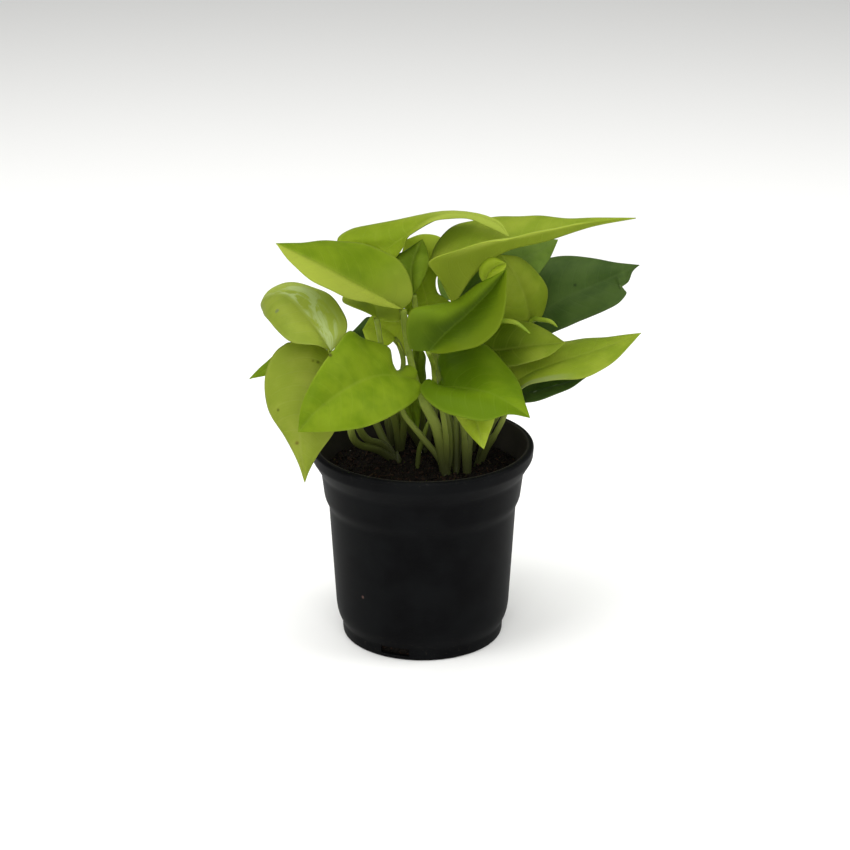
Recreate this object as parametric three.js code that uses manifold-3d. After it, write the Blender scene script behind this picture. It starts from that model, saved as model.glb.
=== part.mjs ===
// A young pothos in a black nursery pot, in millimetres.
// +Z is up, the origin is the centre of the pot's underside, and the fullest side faces -Y.

import * as THREE from "three";
import { mergeVertices } from "three/addons/utils/BufferGeometryUtils.js";
import Module from "manifold-3d";

const wasm = await Module();
wasm.setup();

// Pot: a moulded black pot of the four inch kind.
const potHeight = 95.6;
const rimRadius = 52.5;
const lipHeight = 5.8;
const lipWidth = 3.2;
const collarTop = 82.5;
const collarBottom = 68.5;
const collarRadius = 47.8;
const bodyTopRadius = 44.3;
const bodyBottomRadius = 41.3;
const footHeight = 7;
const footRadius = 38.4;
const wallThickness = 1.4;
const floorThickness = 2;
const potSides = 40;
const slotCount = 3;
const slotWidth = 14;
const slotHeight = 3.8;
const slotDepth = 2.6;
const slotLift = 2.2;
const slotFirstAngle = -110;

// Soil: fills the pot to about a finger below the rim.
const soilLevel = 83;
const soilBump = 1.2;
const soilCrown = 2;
const soilRings = 5;
const fitGap = 0.3;

// Stems and leaves.
const stemDepth = 30;
const stubHeight = 4;
const stemSides = 6;
const petioleRadius = 1.35;
const petioleSteps = 6;
const spurRadius = 1.35;
const sheathRadius = 1.9;
const sheathShare = 0.5;
const sheathSteps = 2;
const bladeThickness = 0.7;
const bladeCup = 2;
const bladeRows = 8;
const bladeColumns = [-1, -0.5, 0, 0.5, 1];

const lime = new THREE.Color("#8fa62c");
const darkGreen = new THREE.Color("#3f6230");
const midGreen = new THREE.Color("#5d8230");
const stemGreen = new THREE.Color("#7d9150");
const potBlack = new THREE.Color("#141516");
const soilBrown = new THREE.Color("#241a12");

// Each leaf: its midrib from base to tip, and its two margins from base to tip, as seen
// from above with the tip ahead. Places are [right, back, up].
const leaves = [
  {
    name: "leaf_top_left",
    rows: 11,
    color: lime,
    midrib: [[-9, -2, 162], [-26, -14, 176], [-46, -18, 189], [-66, -14, 197]],
    left: [[-11, -8, 164], [-23, -22, 171], [-35, -30, 177], [-49, -32, 185], [-59, -24, 191]],
    right: [
      [-5, 0, 166], [-5, 3, 173], [-11, 6, 183],
      [-23, 8, 189], [-40, 4, 193], [-55, -6, 195],
    ],
  },
  {
    name: "leaf_under_top_left",
    color: lime,
    midrib: [[-21, -6, 159], [-22, 6, 161], [-26, 22, 163]],
    left: [[-26, -10, 163], [-33, -6, 165], [-37, 2, 165], [-34, 14, 166]],
    right: [[-16, -8, 158], [-11, -4, 157], [-9, 8, 159], [-16, 20, 162]],
  },
  {
    name: "leaf_dark_behind_left",
    color: darkGreen,
    midrib: [[-23, 34, 134], [-29, 38, 135], [-35, 38, 136]],
    left: [[-26, 30, 132], [-32, 32, 134]],
    right: [[-21, 42, 141], [-26, 44, 143], [-31, 42, 139]],
  },
  {
    name: "leaf_behind_left",
    color: lime,
    midrib: [[-13, 14, 142], [-18, 16, 147], [-28, 10, 148]],
    left: [[-15, 10, 141], [-19, 5, 141], [-25, 5, 143]],
    right: [
      [-10, 15, 137], [-8, 18, 132], [-7, 20, 138], [-8, 22, 145],
      [-11, 26, 149], [-22, 22, 152],
    ],
  },
  {
    name: "leaf_left_round",
    rows: 11,
    color: lime,
    midrib: [[-41, -36, 153], [-52, -26, 166], [-63, -12, 172], [-74, 2, 165], [-73, 12, 156]],
    left: [[-47, -42, 158], [-59, -40, 159], [-66, -30, 162], [-72, -14, 163]],
    right: [
      [-35.4, -27, 156.5], [-34.4, -17, 161], [-41, -4, 168],
      [-53, 6, 171], [-65, 12, 170], [-73, 14, 164],
    ],
  },
  {
    name: "leaf_front_left_hanging",
    rows: 12,
    color: lime,
    midrib: [[-36, -26, 145], [-47, -34, 141], [-54, -42, 128], [-55, -48, 115], [-53, -52, 96]],
    left: [[-34, -24, 140], [-35, -31, 128], [-39, -41, 118], [-47, -48, 108], [-51, -50, 101]],
    right: [
      [-42, -22, 148], [-53, -20, 153], [-65, -22, 150], [-71, -28, 140],
      [-70, -36, 126], [-62, -44, 115], [-56, -50, 105],
    ],
  },
  {
    name: "leaf_behind_hanging",
    color: midGreen,
    midrib: [[-57, 0, 140], [-69, -4, 135], [-80, -8, 130]],
    left: [[-56, -10, 134], [-69, -10, 133]],
    right: [[-62, 6, 143], [-72, 2, 135]],
  },
  {
    name: "leaf_front_center",
    rows: 13,
    color: lime,
    midrib: [[-3, -19, 134], [-19, -34, 141], [-34, -52, 141], [-47, -62, 134], [-55, -64, 125]],
    left: [[0, -24, 132], [-2, -30, 129], [-12, -46, 127], [-25, -60, 126], [-39, -66, 126]],
    right: [
      [-2.5, -15, 136.5], [-7, -10, 137.5], [-12, -9, 134.5], [-14, -10, 139], [-15, -12, 146],
      [-20, -15, 150], [-26, -18, 153], [-33, -28, 160], [-38, -42, 158], [-45, -54, 152], [-53, -62, 138],
    ],
  },
  {
    name: "leaf_front_right",
    rows: 13,
    color: lime,
    midrib: [[6, -24, 132], [17, -34, 135], [31, -44, 136], [41, -50, 132], [48, -54, 128]],
    left: [
      [9, -17, 134], [7, -11, 139], [10, -6, 145], [18, -4, 147],
      [29, -6, 146], [39, -12, 138], [44, -26, 134], [46, -44, 132],
    ],
    right: [
      [3, -22, 135], [-1, -28, 133], [4, -42, 130],
      [15, -52, 128], [27, -58, 128], [38, -58, 131],
    ],
  },
  {
    name: "leaf_center_bowl",
    rows: 12,
    color: lime,
    midrib: [[2.8, -30, 151], [11, -24, 158], [22, -20, 167], [31, -18, 176], [38, -20, 187]],
    left: [
      [-5, -28, 151.4], [-7, -25, 156], [-7, -20, 162], [-4.5, -15, 166],
      [5, -10, 167], [15, -8, 168], [25, -11, 177], [32, -16, 182],
    ],
    right: [
      [7, -33, 151], [17, -40, 154.8], [26.6, -42, 158.7],
      [34, -40, 165], [37, -34, 174], [38, -26, 182],
    ],
  },
  {
    name: "leaf_top_arch",
    rows: 14,
    color: lime,
    midrib: [
      [-21, 22, 180], [-9, 22, 189], [8, 24, 198.4],
      [24, 20, 200.2], [35, 12, 198.6], [40, 6, 194],
    ],
    left: [
      [-31, 30, 179], [-40, 34, 184], [-34, 42, 187.5], [-16, 46, 189.3],
      [1, 42, 194], [16, 32, 198.2], [29, 20, 200], [36, 13, 199],
    ],
    right: [
      [-24, 16, 178], [-15, 14, 180], [-9, 12, 187], [-7, 13, 192],
      [4, 16, 198], [18, 17, 200], [30, 10, 198],
    ],
  },
  {
    name: "leaf_shaded_small",
    color: lime,
    midrib: [[-4, 7, 166], [-5, 13, 178], [0, 20, 189]],
    left: [[-9, 9, 169], [-13, 16, 181], [-7, 20, 184]],
    right: [[-1, 6, 171], [3, 12, 180], [2, 18, 185]],
  },
  {
    name: "leaf_behind_center",
    rows: 10,
    color: lime,
    midrib: [[3, 20, 154], [0, 30, 165], [-3, 40, 174], [-8, 46, 181]],
    left: [[-2, 19, 151], [-7, 20, 152], [-9, 25, 157], [-9, 32, 162], [-10, 44, 173]],
    right: [
      [13, 17, 159], [10, 19, 161], [7, 24, 162], [6.5, 28, 167],
      [10, 33, 173], [12.5, 40, 179], [8, 46, 182.5], [0, 47, 183.5],
    ],
  },
  {
    name: "leaf_top_right_folded",
    rows: 13,
    color: lime,
    midrib: [
      [14, 3, 162.6], [21, 2, 175], [28, 2, 183], [39, 4, 189], [57, 6, 193], [78, 8, 199], [98, 10, 202],
    ],
    left: [
      [10, 11, 168], [4.5, 20, 179.9], [5.4, 25, 183.4], [10, 30, 188.4], [17, 33, 192.6],
      [34, 32, 196], [50, 28, 198], [69, 20, 199], [86, 14, 201],
    ],
    right: [
      [11, -4, 172], [6, -12, 182], [3, -18, 189], [9, -22, 194],
      [25, -22, 199], [40, -16, 200], [58, -6, 201], [80, 4, 202],
    ],
  },
  {
    name: "leaf_young_curled",
    color: lime,
    midrib: [[29, -4, 174], [31, -7, 182], [38, -8, 186]],
    left: [[26, -2, 179], [27, -4, 184], [32, -6, 188]],
    right: [[32, -9, 178], [35, -12, 182], [38, -10, 185]],
  },
  {
    name: "leaf_right_round",
    rows: 10,
    color: lime,
    midrib: [[51, 24, 146], [48, 18, 161], [43, 13, 174], [36, 12, 184]],
    left: [[40, 15, 150], [34.5, 9, 160], [33, 4, 175], [32, 8, 183]],
    right: [[56, 25, 149], [59, 26, 161], [54, 22, 172], [45, 17, 181]],
  },
  {
    name: "leaf_right_middle",
    rows: 10,
    color: lime,
    midrib: [[23, 8, 138], [36, 1, 141], [51, -4, 145], [66, -6, 147]],
    left: [[24, 9, 144], [31, 8, 150], [41, 8, 153], [50, 8, 152.4], [57, 6, 149.4], [62, 2, 147.5]],
    right: [[26, 2, 135], [36, -8, 136], [48, -13, 139.3], [59, -11, 143]],
  },
  {
    name: "leaf_lower_right_long",
    rows: 10,
    color: lime,
    midrib: [[40, 0, 124], [51, -4, 132], [66, -4, 138], [85, 0, 143], [102, 8, 147]],
    left: [[37, 10, 129], [51, 18, 136], [67, 20, 139], [86, 14, 143]],
    right: [[42, -4, 121], [50, -12, 129], [63, -18, 133], [77, -18, 135], [90, -8, 140]],
  },
  {
    name: "leaf_dark_lower_right",
    color: darkGreen,
    midrib: [[42, 10, 115], [58, 8, 120], [78, 10, 125]],
    left: [[43, 20, 118], [56, 26, 122], [70, 20, 125]],
    right: [[45, 4, 114], [57, -2, 118], [68, 0, 122]],
  },
  {
    name: "leaf_dark_upper_right",
    rows: 13,
    color: darkGreen,
    midrib: [[51, 30, 145], [65, 32, 155], [84, 32, 164], [102, 28, 174]],
    left: [[47, 42, 152], [53, 52, 166], [64, 52, 171], [80, 46, 172], [93, 38, 172]],
    right: [
      [55, 22, 141], [66, 20, 145], [74, 20, 149], [86, 20, 154], [93, 22, 158],
      [96, 24, 162], [93, 25, 163], [97, 27, 166], [99, 28, 171],
    ],
  },
  {
    name: "leaf_green_behind_right",
    color: midGreen,
    midrib: [[16, 16, 161], [27, 22, 169], [43, 28, 175], [64, 36, 184]],
    left: [[12, 20, 162], [12, 28, 165], [15, 34, 171], [27, 42, 177], [46, 44, 183]],
    right: [[18, 10, 162], [32, 10, 164], [49, 18, 168], [59, 30, 175]],
  },
  {
    name: "leaf_under_front_right",
    color: lime,
    midrib: [[16, -14, 123], [23, -24, 120], [26, -32, 113], [28, -36, 106]],
    left: [[25, -16, 125], [33, -26, 120], [30, -33, 111]],
    right: [[13, -16, 121], [18, -26, 114], [24, -33, 109]],
  },
  {
    name: "leaf_shaded_low",
    color: lime,
    midrib: [[-6, 2, 124], [-5, 0, 112], [-2, 0, 100]],
    left: [[-1, 0, 120], [-1, 0, 110]],
    right: [[-10, 0, 120], [-9, 0, 111]],
  },
  {
    name: "leaf_shaded_center",
    color: lime,
    midrib: [[-2, 17, 117], [-3, 16, 127], [-2, 14, 139]],
    left: [[-5, 16, 119], [-6, 15, 127], [-5, 14, 136]],
    right: [[1.5, 17, 120], [1.3, 17, 127], [1.3, 15, 134]],
  },
  {
    name: "leaf_back_low_left",
    color: lime,
    midrib: [[-24, 36, 114], [-32, 50, 120], [-42, 62, 118], [-52, 72, 106]],
    left: [[-30, 33, 114], [-38, 42, 117], [-48, 54, 113]],
    right: [[-19, 42, 114], [-22, 58, 119], [-34, 72, 112]],
  },
  {
    name: "leaf_back_low_middle",
    color: lime,
    midrib: [[18, 40, 118], [21, 56, 121], [24, 70, 116], [26, 80, 102]],
    left: [[13, 44, 117], [11, 58, 117], [16, 72, 112]],
    right: [[23, 42, 117], [33, 52, 117], [36, 66, 111]],
  },
  {
    name: "leaf_back_low_right",
    color: lime,
    midrib: [[36, 44, 120], [48, 54, 126], [60, 62, 124], [72, 70, 114]],
    left: [[32, 50, 120], [36, 64, 122], [52, 74, 118]],
    right: [[42, 42, 119], [56, 46, 120], [70, 56, 118]],
  },
  {
    name: "leaf_back_high",
    color: midGreen,
    midrib: [[16, 48, 150], [24, 60, 158], [36, 74, 162], [50, 86, 156]],
    left: [[10, 52, 150], [8, 66, 158], [24, 82, 160]],
    right: [[22, 46, 149], [38, 52, 156], [50, 68, 158]],
  },
  {
    name: "leaf_back_high_left",
    color: lime,
    midrib: [[-18, 44, 158], [-24, 56, 166], [-32, 70, 168], [-42, 82, 160]],
    left: [[-24, 42, 157], [-36, 48, 163], [-44, 64, 163]],
    right: [[-12, 48, 158], [-12, 64, 165], [-24, 80, 164]],
  },
];

// Each leafy stem: where it stands in the soil, its thickness there, and the petioles that
// leave it, each with the places it passes on its way to its leaf, or to its own free end.
const stems = [
  {
    name: "stem_front",
    foot: [11, -8],
    radius: 2.8,
    petioles: [
      {
        leaf: "leaf_top_left",
        radius: 1.75,
        sheath: 2.7,
        route: [
          [9, -9, 95], [6, -12, 109], [0.6, -13.5, 121],
          [-3.2, -11, 130.6], [-5.4, -8, 139.3], [-7.4, -4.5, 150],
        ],
      },
      {
        leaf: "leaf_center_bowl",
        sheath: 1.6,
        route: [[13, -7, 92], [12, -8, 106], [9, -10, 120], [6, -13, 130], [5, -20, 141]],
      },
      { leaf: "leaf_front_right", sheath: 1.6, route: [[11, -12, 101], [9, -19, 119]] },
      {
        leaf: "leaf_front_center",
        sheath: 1.6,
        route: [[8, -8, 90], [0, -8, 101], [-9, -9, 114], [-9, -13, 124]],
      },
    ],
  },
  {
    name: "stem_front_middle",
    foot: [16, -4],
    radius: 1.6,
    petioles: [
      {
        leaf: "leaf_top_right_folded",
        sheath: 1.6,
        route: [[16, -2, 97], [16, 3, 116], [16, 6, 139], [15, 5, 157]],
      },
      {
        leaf: "leaf_shaded_small",
        sheath: 1.6,
        route: [[14, 2, 98], [11, 8, 114], [7, 10, 128], [5, 12, 137], [-2, 9, 154]],
      },
      {
        leaf: "leaf_behind_center",
        sheath: 1.6,
        route: [[17, 4, 98], [16, 12, 112], [14, 18, 135], [11, 20, 147]],
      },
    ],
  },
  {
    name: "stem_front_right",
    foot: [21, -8],
    radius: 2,
    petioles: [
      {
        leaf: "leaf_right_round",
        route: [[21, -6, 99], [23, 2, 113], [32, 12, 127], [44, 20, 137]],
      },
      {
        leaf: "leaf_young_curled",
        sheath: 1.6,
        route: [[20, -6, 99], [20, 4, 115], [20, 12, 132], [23, 5, 154]],
      },
      { leaf: "leaf_right_middle", route: [[22, -4, 98], [25, 2, 113], [24, 7, 127]] },
      { leaf: "leaf_under_front_right", route: [[19, -10, 106]] },
      { from: [21.5, 8.6, 145.5], route: [[30, 1, 154], [37, -4, 157], [43, -7, 157], [49.5, -9, 152.5]] },
      { from: [46, 21, 140], route: [[52, 19, 150], [55, 16, 151], [60, 13, 151], [63, 11, 149]] },
    ],
  },
  {
    name: "stem_young_spear",
    foot: [-2.5, 0],
    radius: 1.1,
    color: lime,
    petioles: [{ route: [[-1.5, -1, 92], [0, -2, 97], [1.5, -2.5, 103], [3, -3, 108]] }],
  },
  {
    name: "stem_right",
    foot: [26, 3],
    radius: 1.9,
    petioles: [
      { leaf: "leaf_lower_right_long", route: [[30, 1, 92], [35, -2, 102], [39, -2, 112]] },
      { leaf: "leaf_dark_lower_right", route: [[29, 6, 92], [33, 9, 101], [38, 10, 109]] },
    ],
  },
  {
    name: "stem_left",
    foot: [-12, 11],
    radius: 2.2,
    petioles: [
      {
        leaf: "leaf_left_round",
        route: [
          [-21, 4, 90], [-30, -6, 97], [-33, -18, 109],
          [-31, -27, 124], [-33, -35, 138], [-38, -37, 148],
        ],
      },
      {
        leaf: "leaf_front_left_hanging",
        route: [[-19, 8, 91], [-26, 0, 97], [-30, -7, 107], [-31, -13, 121], [-33, -20, 135]],
      },
      {
        leaf: "leaf_behind_hanging",
        route: [[-18, 13, 91], [-25, 15, 105], [-37, 14, 119], [-48, 8, 131]],
      },
    ],
  },
  {
    name: "stem_middle",
    foot: [-11, 18],
    radius: 2,
    petioles: [
      {
        leaf: "leaf_under_top_left",
        route: [[-12, 14, 96], [-15, 8, 112], [-18, 1, 131], [-19, -3, 144]],
      },
      {
        leaf: "leaf_behind_left",
        route: [[-10, 16, 98], [-11, 14, 112], [-10, 13, 123], [-9, 15, 131], [-11, 17, 138]],
      },
      { leaf: "leaf_shaded_low", route: [[-9, 13, 99], [-10, 8, 114], [-8, 4, 121]] },
    ],
  },
  {
    name: "stem_back_right",
    foot: [23, 22],
    radius: 2,
    petioles: [
      { leaf: "leaf_dark_upper_right", route: [[28, 26, 100], [35, 32, 118], [44, 34, 132]] },
      { leaf: "leaf_green_behind_right", route: [[24, 24, 100], [23, 24, 126], [20, 20, 147]] },
      { leaf: "leaf_back_low_right", route: [[28, 32, 98], [33, 40, 110]] },
    ],
  },
  {
    name: "stem_back",
    foot: [1, 26],
    radius: 2,
    petioles: [
      {
        leaf: "leaf_top_arch",
        route: [[-7, 24, 95], [-14, 20, 109], [-18, 20, 127], [-18, 28, 138], [-18, 27, 158]],
      },
      { leaf: "leaf_shaded_center", sheath: 1.6, route: [[0, 23, 100], [-1, 19, 110]] },
      { leaf: "leaf_back_low_middle", route: [[6, 32, 98], [12, 38, 110]] },
      { leaf: "leaf_back_high", route: [[5, 34, 100], [7, 42, 122], [11, 48, 140]] },
    ],
  },
  {
    name: "stem_back_left",
    foot: [-14, 30],
    radius: 1.9,
    petioles: [
      { leaf: "leaf_dark_behind_left", route: [[-15, 30, 96], [-18, 32, 112], [-21, 33, 124]] },
      { leaf: "leaf_back_low_left", route: [[-18, 33, 98], [-22, 36, 107]] },
      {
        leaf: "leaf_back_high_left",
        route: [[-14, 32, 98], [-18, 36, 117], [-20, 40, 131], [-19, 43, 145]],
      },
    ],
  },
];

const vector = (place) => new THREE.Vector3(...place);
const curveThrough = (places) => new THREE.CatmullRomCurve3(places.map(vector));

function materialOf(color, roughness) {
  return new THREE.MeshStandardMaterial({ color, roughness, metalness: 0 });
}

// A closed geometry as a solid that can be joined or cut.
function solidOf(geometry) {
  const bare = geometry.clone();
  bare.deleteAttribute("normal");
  bare.deleteAttribute("uv");
  const merged = mergeVertices(bare, 1e-4);
  return new wasm.Manifold(
    new wasm.Mesh({
      numProp: 3,
      vertProperties: new Float32Array(merged.attributes.position.array),
      triVerts: new Uint32Array(merged.index.array),
    }),
  );
}

function geometryOf(solid) {
  const { vertProperties, triVerts } = solid.getMesh();
  const geometry = new THREE.BufferGeometry();
  geometry.setAttribute("position", new THREE.BufferAttribute(new Float32Array(vertProperties), 3));
  geometry.setIndex(new THREE.BufferAttribute(new Uint32Array(triVerts), 1));
  geometry.computeVertexNormals();
  return geometry;
}

function meshOf(name, solid, material) {
  const mesh = new THREE.Mesh(geometryOf(solid), material);
  mesh.name = name;
  return mesh;
}

// A profile turned round the vertical axis.
function turned(profile, sides) {
  const points = profile.map(([radius, height]) => new THREE.Vector2(radius, height));
  const geometry = new THREE.LatheGeometry(points, sides);
  geometry.rotateX(Math.PI / 2);
  return geometry;
}

// The pot's inner wall from the floor up, drawn in by a gap for what fills it.
function innerWall(gap) {
  const inset = wallThickness + gap;
  return [
    [footRadius - inset, floorThickness + gap],
    [footRadius - inset, footHeight],
    [bodyBottomRadius - inset, footHeight + 8],
    [bodyTopRadius - inset, collarBottom - 3],
    [collarRadius - 1.5 - inset, collarBottom + 4],
    [collarRadius - inset, collarTop + 2],
  ];
}

function potSolid() {
  const profile = [
    [0, 0],
    [footRadius - 1, 0],
    [footRadius - 0.2, 0.8],
    [footRadius, 3],
    [footRadius, footHeight - 1],
    [bodyBottomRadius - 0.8, footHeight + 3.5],
    [bodyBottomRadius, footHeight + 8],
    [bodyTopRadius, collarBottom - 3],
    [collarRadius - 1.5, collarBottom + 1.5],
    [collarRadius, collarTop],
    [rimRadius - 0.4, potHeight - lipHeight],
    [rimRadius, potHeight - 1],
    [rimRadius - 0.8, potHeight],
    [rimRadius - lipWidth, potHeight],
    [rimRadius - lipWidth - 0.6, potHeight - 2],
    ...innerWall(0).reverse(),
    [0, floorThickness],
  ];
  let pot = solidOf(turned(profile, potSides));
  for (let i = 0; i < slotCount; i += 1) {
    const slot = new THREE.BoxGeometry(2 * slotDepth, slotWidth, slotHeight);
    slot.translate(footRadius, 0, slotLift + slotHeight / 2);
    slot.rotateZ(THREE.MathUtils.degToRad(slotFirstAngle + (i * 360) / slotCount));
    pot = pot.subtract(solidOf(slot));
  }
  return pot;
}

// The soil's surface is uneven by a gentle sum of waves.
function soilHeight(x, y) {
  const waves = Math.sin(0.23 * x + 1) * Math.cos(0.19 * y) + 0.6 * Math.sin(0.41 * y + 0.5 * x);
  return soilBump * waves;
}

function soilSolid() {
  const wall = innerWall(fitGap);
  const edge = wall.at(-1)[0] - 2 * fitGap;
  const profile = [[0, floorThickness + fitGap], ...wall.slice(0, -1)];
  for (let i = soilRings; i >= 0; i -= 1) profile.push([(edge * i) / soilRings, soilLevel - soilCrown]);
  const geometry = turned(profile, potSides);
  const place = geometry.attributes.position;
  for (let i = 0; i < place.count; i += 1) {
    const x = place.getX(i);
    const y = place.getY(i);
    const inside = 1 - Math.hypot(x, y) / edge;
    if (place.getZ(i) < soilLevel - soilCrown - 0.01) continue;
    const crown = soilCrown * (Math.sqrt(Math.max(inside, 0)) - 1);
    place.setZ(i, soilLevel + crown + soilHeight(x, y));
  }
  let soil = solidOf(geometry);
  for (const stem of stems) soil = soil.subtract(stemHole(stem));
  return soil;
}

// The plain hole in the soil that a stem stands in.
function stemHole({ foot, radius }) {
  const hole = new THREE.CylinderGeometry(radius + fitGap, radius + fitGap, 2 * stemDepth, 14);
  hole.rotateX(Math.PI / 2);
  hole.translate(foot[0], foot[1], soilLevel + fitGap);
  return solidOf(hole);
}

// A round tube with a few flat sides along a curve.
function tubeSolid(curve, radius, steps) {
  const points = [];
  for (let i = 0; i < stemSides; i += 1) {
    const angle = (i * 2 * Math.PI) / stemSides;
    points.push(new THREE.Vector2(radius * Math.cos(angle), radius * Math.sin(angle)));
  }
  const shape = new THREE.Shape(points);
  return solidOf(new THREE.ExtrudeGeometry(shape, { steps, bevelEnabled: false, extrudePath: curve }));
}

// A petiole with the wider sheath round its lower half, cut back to a small gap at its leaf.
// One that names no leaf is a slim spur, which ends free.
function petioleSolid(stem, petiole) {
  const root = petiole.from ?? [stem.foot[0], stem.foot[1], soilLevel + stubHeight - 1];
  if (!petiole.leaf) return tubeSolid(curveThrough([root, ...petiole.route]), spurRadius, petioleSteps);
  const leaf = leaves.find((each) => each.name === petiole.leaf);
  const curve = curveThrough([root, ...petiole.route, leaf.midrib[0]]);
  const sheathPlaces = [0, 0.5, 1].map((share) => curve.getPointAt(sheathShare * share));
  const sheathCurve = new THREE.CatmullRomCurve3(sheathPlaces);
  const stalk = tubeSolid(curve, petiole.radius ?? petioleRadius, petioleSteps);
  const sheath = tubeSolid(sheathCurve, petiole.sheath ?? sheathRadius, sheathSteps);
  return stalk.add(sheath).subtract(bladeSolid(leaf, fitGap));
}

// The main body of a solid, without any scrap that a cut has left loose.
function largestBody(solid) {
  return solid.decompose().reduce((best, body) => (body.volume() > best.volume() ? body : best));
}

function stemSolid(stem) {
  const stub = new THREE.CylinderGeometry(stem.radius, stem.radius, stemDepth, 12);
  stub.rotateX(Math.PI / 2);
  stub.translate(stem.foot[0], stem.foot[1], soilLevel + stubHeight - stemDepth / 2);
  let solid = solidOf(stub);
  for (const petiole of stem.petioles) solid = solid.add(petioleSolid(stem, petiole));
  return largestBody(solid);
}

// The blade's middle surface: rows run from the midrib out to both margins.
function bladeSurface(leaf, grow) {
  const midrib = curveThrough(leaf.midrib);
  const ends = [leaf.midrib[0], leaf.midrib.at(-1)];
  const left = curveThrough([ends[0], ...leaf.left, ends[1]]);
  const right = curveThrough([ends[0], ...leaf.right, ends[1]]);
  const cup = leaf.cup ?? bladeCup;
  const count = leaf.rows ?? bladeRows;
  const rows = [];
  for (let i = 0; i <= count; i += 1) {
    const along = i / count;
    const middle = midrib.getPointAt(along);
    const tangent = midrib.getTangentAt(along);
    if (i === 0) middle.addScaledVector(tangent, -grow);
    if (i === count) middle.addScaledVector(tangent, grow);
    const steady = THREE.MathUtils.clamp(along, 0.1, 0.9);
    const across = right.getPointAt(steady).sub(left.getPointAt(steady));
    const up = across.cross(tangent).normalize();
    const row = [];
    for (const column of i === 0 || i === count ? [0] : bladeColumns) {
      const share = Math.abs(column);
      const margin = (column < 0 ? left : right).getPointAt(along);
      const outward = margin.clone().sub(middle).normalize();
      margin.addScaledVector(outward, grow);
      const lift = cup * 4 * share * (1 - share) * Math.sin(Math.PI * along);
      row.push(middle.clone().lerp(margin, share).addScaledVector(up, lift));
    }
    rows.push(row);
  }
  return rows;
}

// Triangles between two rows, which may each be a single point.
function rowTriangles(lower, upper, lowerStart, upperStart) {
  const triangles = [];
  const last = bladeColumns.length - 1;
  for (let i = 0; i < last; i += 1) {
    const a = lower.length === 1 ? lowerStart : lowerStart + i;
    const b = lower.length === 1 ? lowerStart : lowerStart + i + 1;
    const c = upper.length === 1 ? upperStart : upperStart + i + 1;
    const d = upper.length === 1 ? upperStart : upperStart + i;
    if (a !== b) triangles.push([a, b, c]);
    if (c !== d) triangles.push([a, c, d]);
  }
  return triangles;
}

// A blade of even thickness, with both faces split into triangles alike.
function bladeSolid(leaf, grow = 0) {
  const rows = bladeSurface(leaf, grow);
  const places = rows.flat();
  const triangles = [];
  let start = 0;
  for (let i = 0; i < rows.length - 1; i += 1) {
    const next = start + rows[i].length;
    triangles.push(...rowTriangles(rows[i], rows[i + 1], start, next));
    start = next;
  }
  const middle = new THREE.BufferGeometry().setFromPoints(places);
  middle.setIndex(triangles.flat());
  middle.computeVertexNormals();
  const normals = middle.attributes.normal;
  const half = bladeThickness / 2 + grow;
  const normalAt = (i) => new THREE.Vector3().fromBufferAttribute(normals, i);
  const shift = (place, i, side) => place.clone().addScaledVector(normalAt(i), side * half);
  const shifted = (side) => places.map((place, i) => shift(place, i, side));
  const count = places.length;
  const faces = triangles.flatMap(([a, b, c]) => [[a, b, c], [a + count, c + count, b + count]]);
  for (const [a, b] of rimEdges(triangles)) faces.push([b, a, a + count], [b, a + count, b + count]);
  const blade = new THREE.BufferGeometry().setFromPoints([...shifted(1), ...shifted(-1)]);
  blade.setIndex(faces.flat());
  return solidOf(blade);
}

// The edges that only one triangle uses, which are the blade's outline.
function rimEdges(triangles) {
  const edges = new Map();
  for (const [a, b, c] of triangles) {
    for (const [from, to] of [[a, b], [b, c], [c, a]]) {
      if (edges.has(`${to} ${from}`)) edges.delete(`${to} ${from}`);
      else edges.set(`${from} ${to}`, [from, to]);
    }
  }
  return [...edges.values()];
}

const plant = new THREE.Group();
plant.add(meshOf("pot", potSolid(), materialOf(potBlack, 0.45)));
plant.add(meshOf("soil", soilSolid(), materialOf(soilBrown, 0.95)));
for (const stem of stems) {
  plant.add(meshOf(stem.name, stemSolid(stem), materialOf(stem.color ?? stemGreen, 0.5)));
}
for (const leaf of leaves) plant.add(meshOf(leaf.name, bladeSolid(leaf), materialOf(leaf.color, 0.4)));

export default plant;
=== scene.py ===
# A young pothos in a black nursery pot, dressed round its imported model.
# Places in the tables are in millimetres as (right, back, up); the meshes are in metres.

import bisect
import math
import random

import bmesh
import bpy
from mathutils import Matrix, Vector, noise


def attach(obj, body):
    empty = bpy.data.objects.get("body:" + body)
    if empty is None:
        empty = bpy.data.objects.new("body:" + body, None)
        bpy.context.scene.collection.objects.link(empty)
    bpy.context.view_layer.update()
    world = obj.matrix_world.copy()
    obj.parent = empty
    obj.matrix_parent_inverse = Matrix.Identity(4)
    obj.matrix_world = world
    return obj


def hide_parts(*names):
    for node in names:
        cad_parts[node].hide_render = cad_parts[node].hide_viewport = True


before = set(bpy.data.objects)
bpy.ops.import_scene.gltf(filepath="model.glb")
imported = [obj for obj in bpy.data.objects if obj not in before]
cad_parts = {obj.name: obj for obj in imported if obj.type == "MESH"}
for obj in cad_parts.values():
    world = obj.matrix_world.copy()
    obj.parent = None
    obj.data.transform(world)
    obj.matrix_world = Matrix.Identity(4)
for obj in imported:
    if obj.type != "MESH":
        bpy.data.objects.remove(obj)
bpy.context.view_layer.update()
mm = 0.001
scene = bpy.context.scene


def linearColor(hexValue):
    channels = [int(hexValue[i:i + 2], 16) / 255 for i in (1, 3, 5)]
    linear = [c / 12.92 if c <= 0.04045 else ((c + 0.055) / 1.055) ** 2.4 for c in channels]
    return (*linear, 1)


def perMm(size):
    return 1 / (size * mm)  # texture scale whose features are this many millimetres wide


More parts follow.
